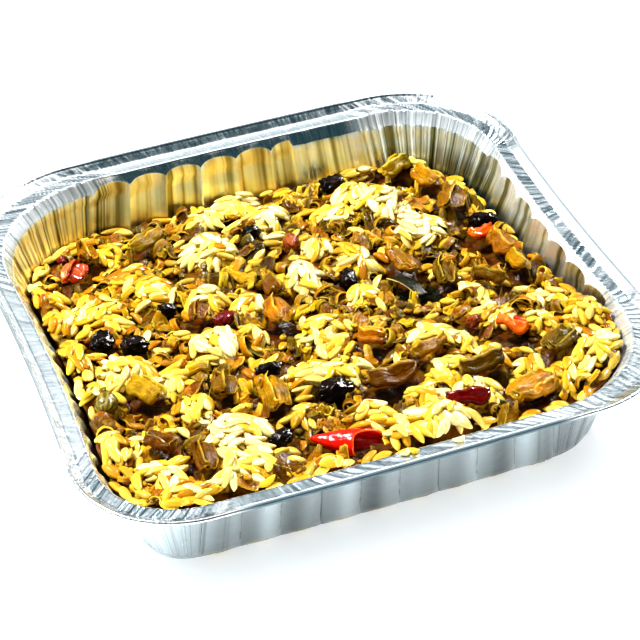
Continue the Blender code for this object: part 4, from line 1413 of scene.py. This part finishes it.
def make_fold(node, material, fold_back, curl, tone, thickness):
    """A soft folded sheet in the place of its CAD leaf: arched, with one edge turned back."""
    cad = cad_points(node)
    tree = cad_tree(node)
    centre, axis, length, width = lie_of(cad)
    cross = np.array((-axis[1], axis[0]))
    stations, steps = 26, 22
    offset = Vector((centre[0] * 0.37, centre[1] * 0.37, 5.0))
    rows = []
    for station in range(stations + 1):
        u = 2.0 * station / stations - 1.0
        half = width / 2 * (1.0 - FOLD_TAPER * abs(u) ** 2.6)
        half *= 1.0 + 0.22 * noise.noise(Vector((u * 1.6, 0.0, 0.0)) + offset)
        half *= min(1.0, 0.45 + 3.2 * (1.0 - abs(u)))
        row = []
        for step in range(steps + 1):
            w = step / steps
            if w < BEND_START:
                v = 2.0 * w / BEND_START - 1.0
                rise = 0.0
            elif w < BEND_END:
                bend = (w - BEND_START) / (BEND_END - BEND_START) * math.pi
                v = 1.0 + BEND_RADIUS / half * math.sin(bend)
                rise = BEND_RADIUS * (1.0 - math.cos(bend))
            else:
                back = (w - BEND_END) / (1.0 - BEND_END)
                v = 1.0 - fold_back * back
                rise = 2.0 * BEND_RADIUS + curl * back ** 2
            v_in = max(-SHEET_INSIDE, min(SHEET_INSIDE, v))
            flat = centre[:2] + axis * u * length / 2 * 0.96 + cross * v * half
            probe = centre[:2] + axis * u * length / 2 * 0.9 + cross * v_in * half * 0.9
            hit = tree.ray_cast(Vector((probe[0], probe[1], 90.0)), Vector((0, 0, -1)))[0]
            if hit is None:
                hit = tree.find_nearest(Vector((probe[0], probe[1], centre[2] + 4.0)))[0]
            ripple = 1.1 * noise.noise(Vector((flat[0], flat[1], 0.0)) * 0.33 + offset)
            wave = math.sin(u * length / 3.1 + 2.0 * v + offset.x)
            ripple += FOLD_WRINKLE * wave * (0.35 + 0.65 * abs(v))
            edge = 2.0 * curl * max(0.0, -v - 0.55) ** 2 if w < BEND_START else 0.0
            row.append((flat[0], flat[1], hit.z + rise + ripple + edge))
        rows.append(row)
    points, faces, edge, lie = thick_sheet(np.array(rows), thickness, 0.4)
    piece = new_piece(node + "_fold", points, faces, material, node)
    paint(piece, "own", onion_colour(tone, edge))
    paint(piece, "lie", lie)
    return piece, points


def make_roll(node, material):
    """The rolled strip of pepper: a cone on its side, cut back where it faces the front."""
    steps, stations = 44, 26
    tip, end = np.array(ROLL_TIP), np.array(ROLL_END)
    axis = unit(end - tip)
    front = unit(np.cross(axis, (0.0, 0.0, 1.0)))
    above = np.cross(front, axis)
    length = np.linalg.norm(end - tip)
    rows = []
    for station in range(stations + 1):
        row = []
        for step in range(steps + 1):
            angle = math.radians(blend(*ROLL_SWEEP, step / steps))
            reach = 0.80 - 0.20 * math.cos(angle - math.radians(35.0)) + 0.03 * math.sin(3.0 * angle)
            share = station / stations * reach
            girth = min(1.0, share / ROLL_TAPER) ** 0.85 * (0.93 + 0.07 * step / steps)
            v = math.cos(angle) * ROLL_RADIUS * girth
            up = math.sin(angle) * ROLL_RADIUS * girth * 0.9
            spot = Vector((share * 2.5, math.cos(angle), math.sin(angle)))
            swell = 1.0 + 0.16 * noise.noise(spot)
            row.append(tip + axis * share * length + front * v * swell + above * up * swell)
        rows.append(row)
    points, faces, edge, _ = thick_sheet(np.array(rows), ROLL_SKIN, 0.7)
    piece = new_piece(node + "_fold", points, faces, material, node)
    # Pale orange along the thin edges: partly their own colour, partly a painted highlight.
    paint_grey(piece, "lit", edge * 0.6)
    return piece, points


def make_toppings(surface):
    """Every raisin, pepper piece, caper and onion piece, in the place of its CAD node."""
    skins = {
        "raisin": skin_material("raisin", RAISIN_STOPS, 0.16, 420.0, 0.2, relief=0.4),
        "sultana": skin_material("sultana", SULTANA_STOPS, 0.15, 600.0, 0.2, 0.2),
        "caper": skin_material("caper", CAPER_STOPS, 0.15, 500.0, 0.3, 0.1, CAPER_RIB, 0.5),
        "onion": onion_material(),
    }
    peppers = {}
    for name, stops in PEPPER_STOPS.items():
        edge = RED_PEPPER_EDGE if name == "red" else None
        peppers[name] = skin_material("pepper_" + name, stops, 0.14, 240.0, 0.4, 0.2, edge)
    slots = {part["node"]: part["material_slot"] for part in frame["record"]["subparts"]}
    for node in sorted(slots):
        kind = slots[node]
        if kind in ("foil", "rice"):
            continue
        skin = peppers[PEPPER_KINDS[node]] if kind == "pepper" else skins[kind]
        if node == "pepper_roll":
            piece, points = make_roll(node, skin)
        elif kind == "caper":
            piece, points = make_berry(node, skin, CAPER_DEPTH, CAPER_RIBS)
        elif kind in ("raisin", "sultana") or node in ROUND_PEPPERS:
            piece, points = make_berry(node, skin, BERRY_DEPTH, 0)
        else:
            fold_back = rng.uniform(0.3, 1.1)
            curl = rng.uniform(0.4, 2.0)
            tone = rng.uniform(0.25, 0.75)
            piece, points = make_fold(node, skin, fold_back, curl, tone, FOLD_SKINS[kind])
        surface.stamp(points)


# Stage

def make_sky():
    """A studio sky that is light and dark in soft blobs, with the patches the foil mirrors."""
    world = bpy.data.worlds.new("studio")
    sky = Nodes(world, "Background")
    direction = sky.add("TexCoord").outputs["Generated"]
    colour = sky.ramp(sky.noise(direction, 3.2, 1.0), [(0.40, SKY_DARK), (0.56, SKY_LIGHT)])
    for aim, near, far, shade in SKY_PATCHES:
        dot = sky.add("VectorMath", {"operation": "DOT_PRODUCT"})
        sky.put(dot, 0, direction)
        sky.put(dot, 1, Vector(aim).normalized())
        inside = sky.add("MapRange", {"interpolation_type": "SMOOTHSTEP"}, Value=dot.outputs["Value"],
                         From_Min=math.cos(math.radians(far)), From_Max=math.cos(math.radians(near)))
        colour = sky.mix(inside.outputs["Result"], colour, (*shade, 1.0))
    sky.set(Color=colour, Strength=WORLD_STRENGTH)
    return world


def make_stage():
    """A plain pale floor, soft studio light and the camera."""
    mesh = bpy.data.meshes.new("floor")
    corners = [(x * FLOOR_REACH, y * FLOOR_REACH, 0.0) for x, y in ((-1, -1), (1, -1), (1, 1), (-1, 1))]
    mesh.from_pydata(corners, [], [(0, 1, 2, 3)])
    m = Nodes(bpy.data.materials.new("floor"))
    m.set(Base_Color=(0.85, 0.85, 0.85, 1.0), Roughness=0.9, Specular_IOR_Level=0.1,
          Emission_Color=(1.0, 1.0, 1.0, 1.0), Emission_Strength=FLOOR_GLOW)
    mesh.materials.append(m.owner)
    floor = bpy.data.objects.new("floor", mesh)
    floor.location.z = -FLOOR_DROP
    bpy.context.scene.collection.objects.link(floor)
    bpy.context.scene.world = make_sky()
    for name, (place, size, power, mirrored, diffuse) in LAMPS.items():
        light = bpy.data.lights.new(name, "AREA")
        light.shape = "RECTANGLE"
        light.size, light.size_y = size
        light.energy = power
        lamp = bpy.data.objects.new(name, light)
        lamp.location = place
        aim = Vector(LAMP_TARGET) - Vector(place)
        lamp.rotation_euler = aim.to_track_quat("-Z", "Y").to_euler()
        lamp.visible_glossy = mirrored
        lamp.visible_diffuse = diffuse
        bpy.context.scene.collection.objects.link(lamp)

    lens = bpy.data.cameras.new("camera")
    lens.lens = CAMERA_LENS
    lens.sensor_width = SENSOR
    lens.sensor_fit = "HORIZONTAL"
    lens.clip_start = 0.01
    camera = bpy.data.objects.new("camera", lens)
    right = Vector(CAMERA_RIGHT).normalized()
    down = Vector(CAMERA_DOWN).normalized()
    back = -right.cross(down)
    rotation = Matrix((right, -down, back)).transposed().to_4x4()
    camera.matrix_world = Matrix.Translation(Vector(CAMERA_PLACE) * MM) @ rotation
    bpy.context.scene.collection.objects.link(camera)
    bpy.context.scene.camera = camera
    view = bpy.context.scene.view_settings
    view.view_transform = "Standard"
    view.look = "High Contrast"


def main():
    make_tray()
    surface = Surface()
    make_toppings(surface)
    make_core(surface)
    scraps = Scraps(surface)
    scraps.hollow_skin()
    scatter_scraps(scraps)
    scraps.join("onion_scraps", onion_material())
    rice = Rice(surface)
    scatter_rice(rice)
    rim_crumbs(rice)
    # Each kind gets its own copy of the rice material; the painted light and shade are in the grains'
    # colours.
    for kind in ("deep", "yellow", "pale"):
        name = "rice_" + kind
        rice.join(kind, name, rice_material(name))
    make_stage()


main()
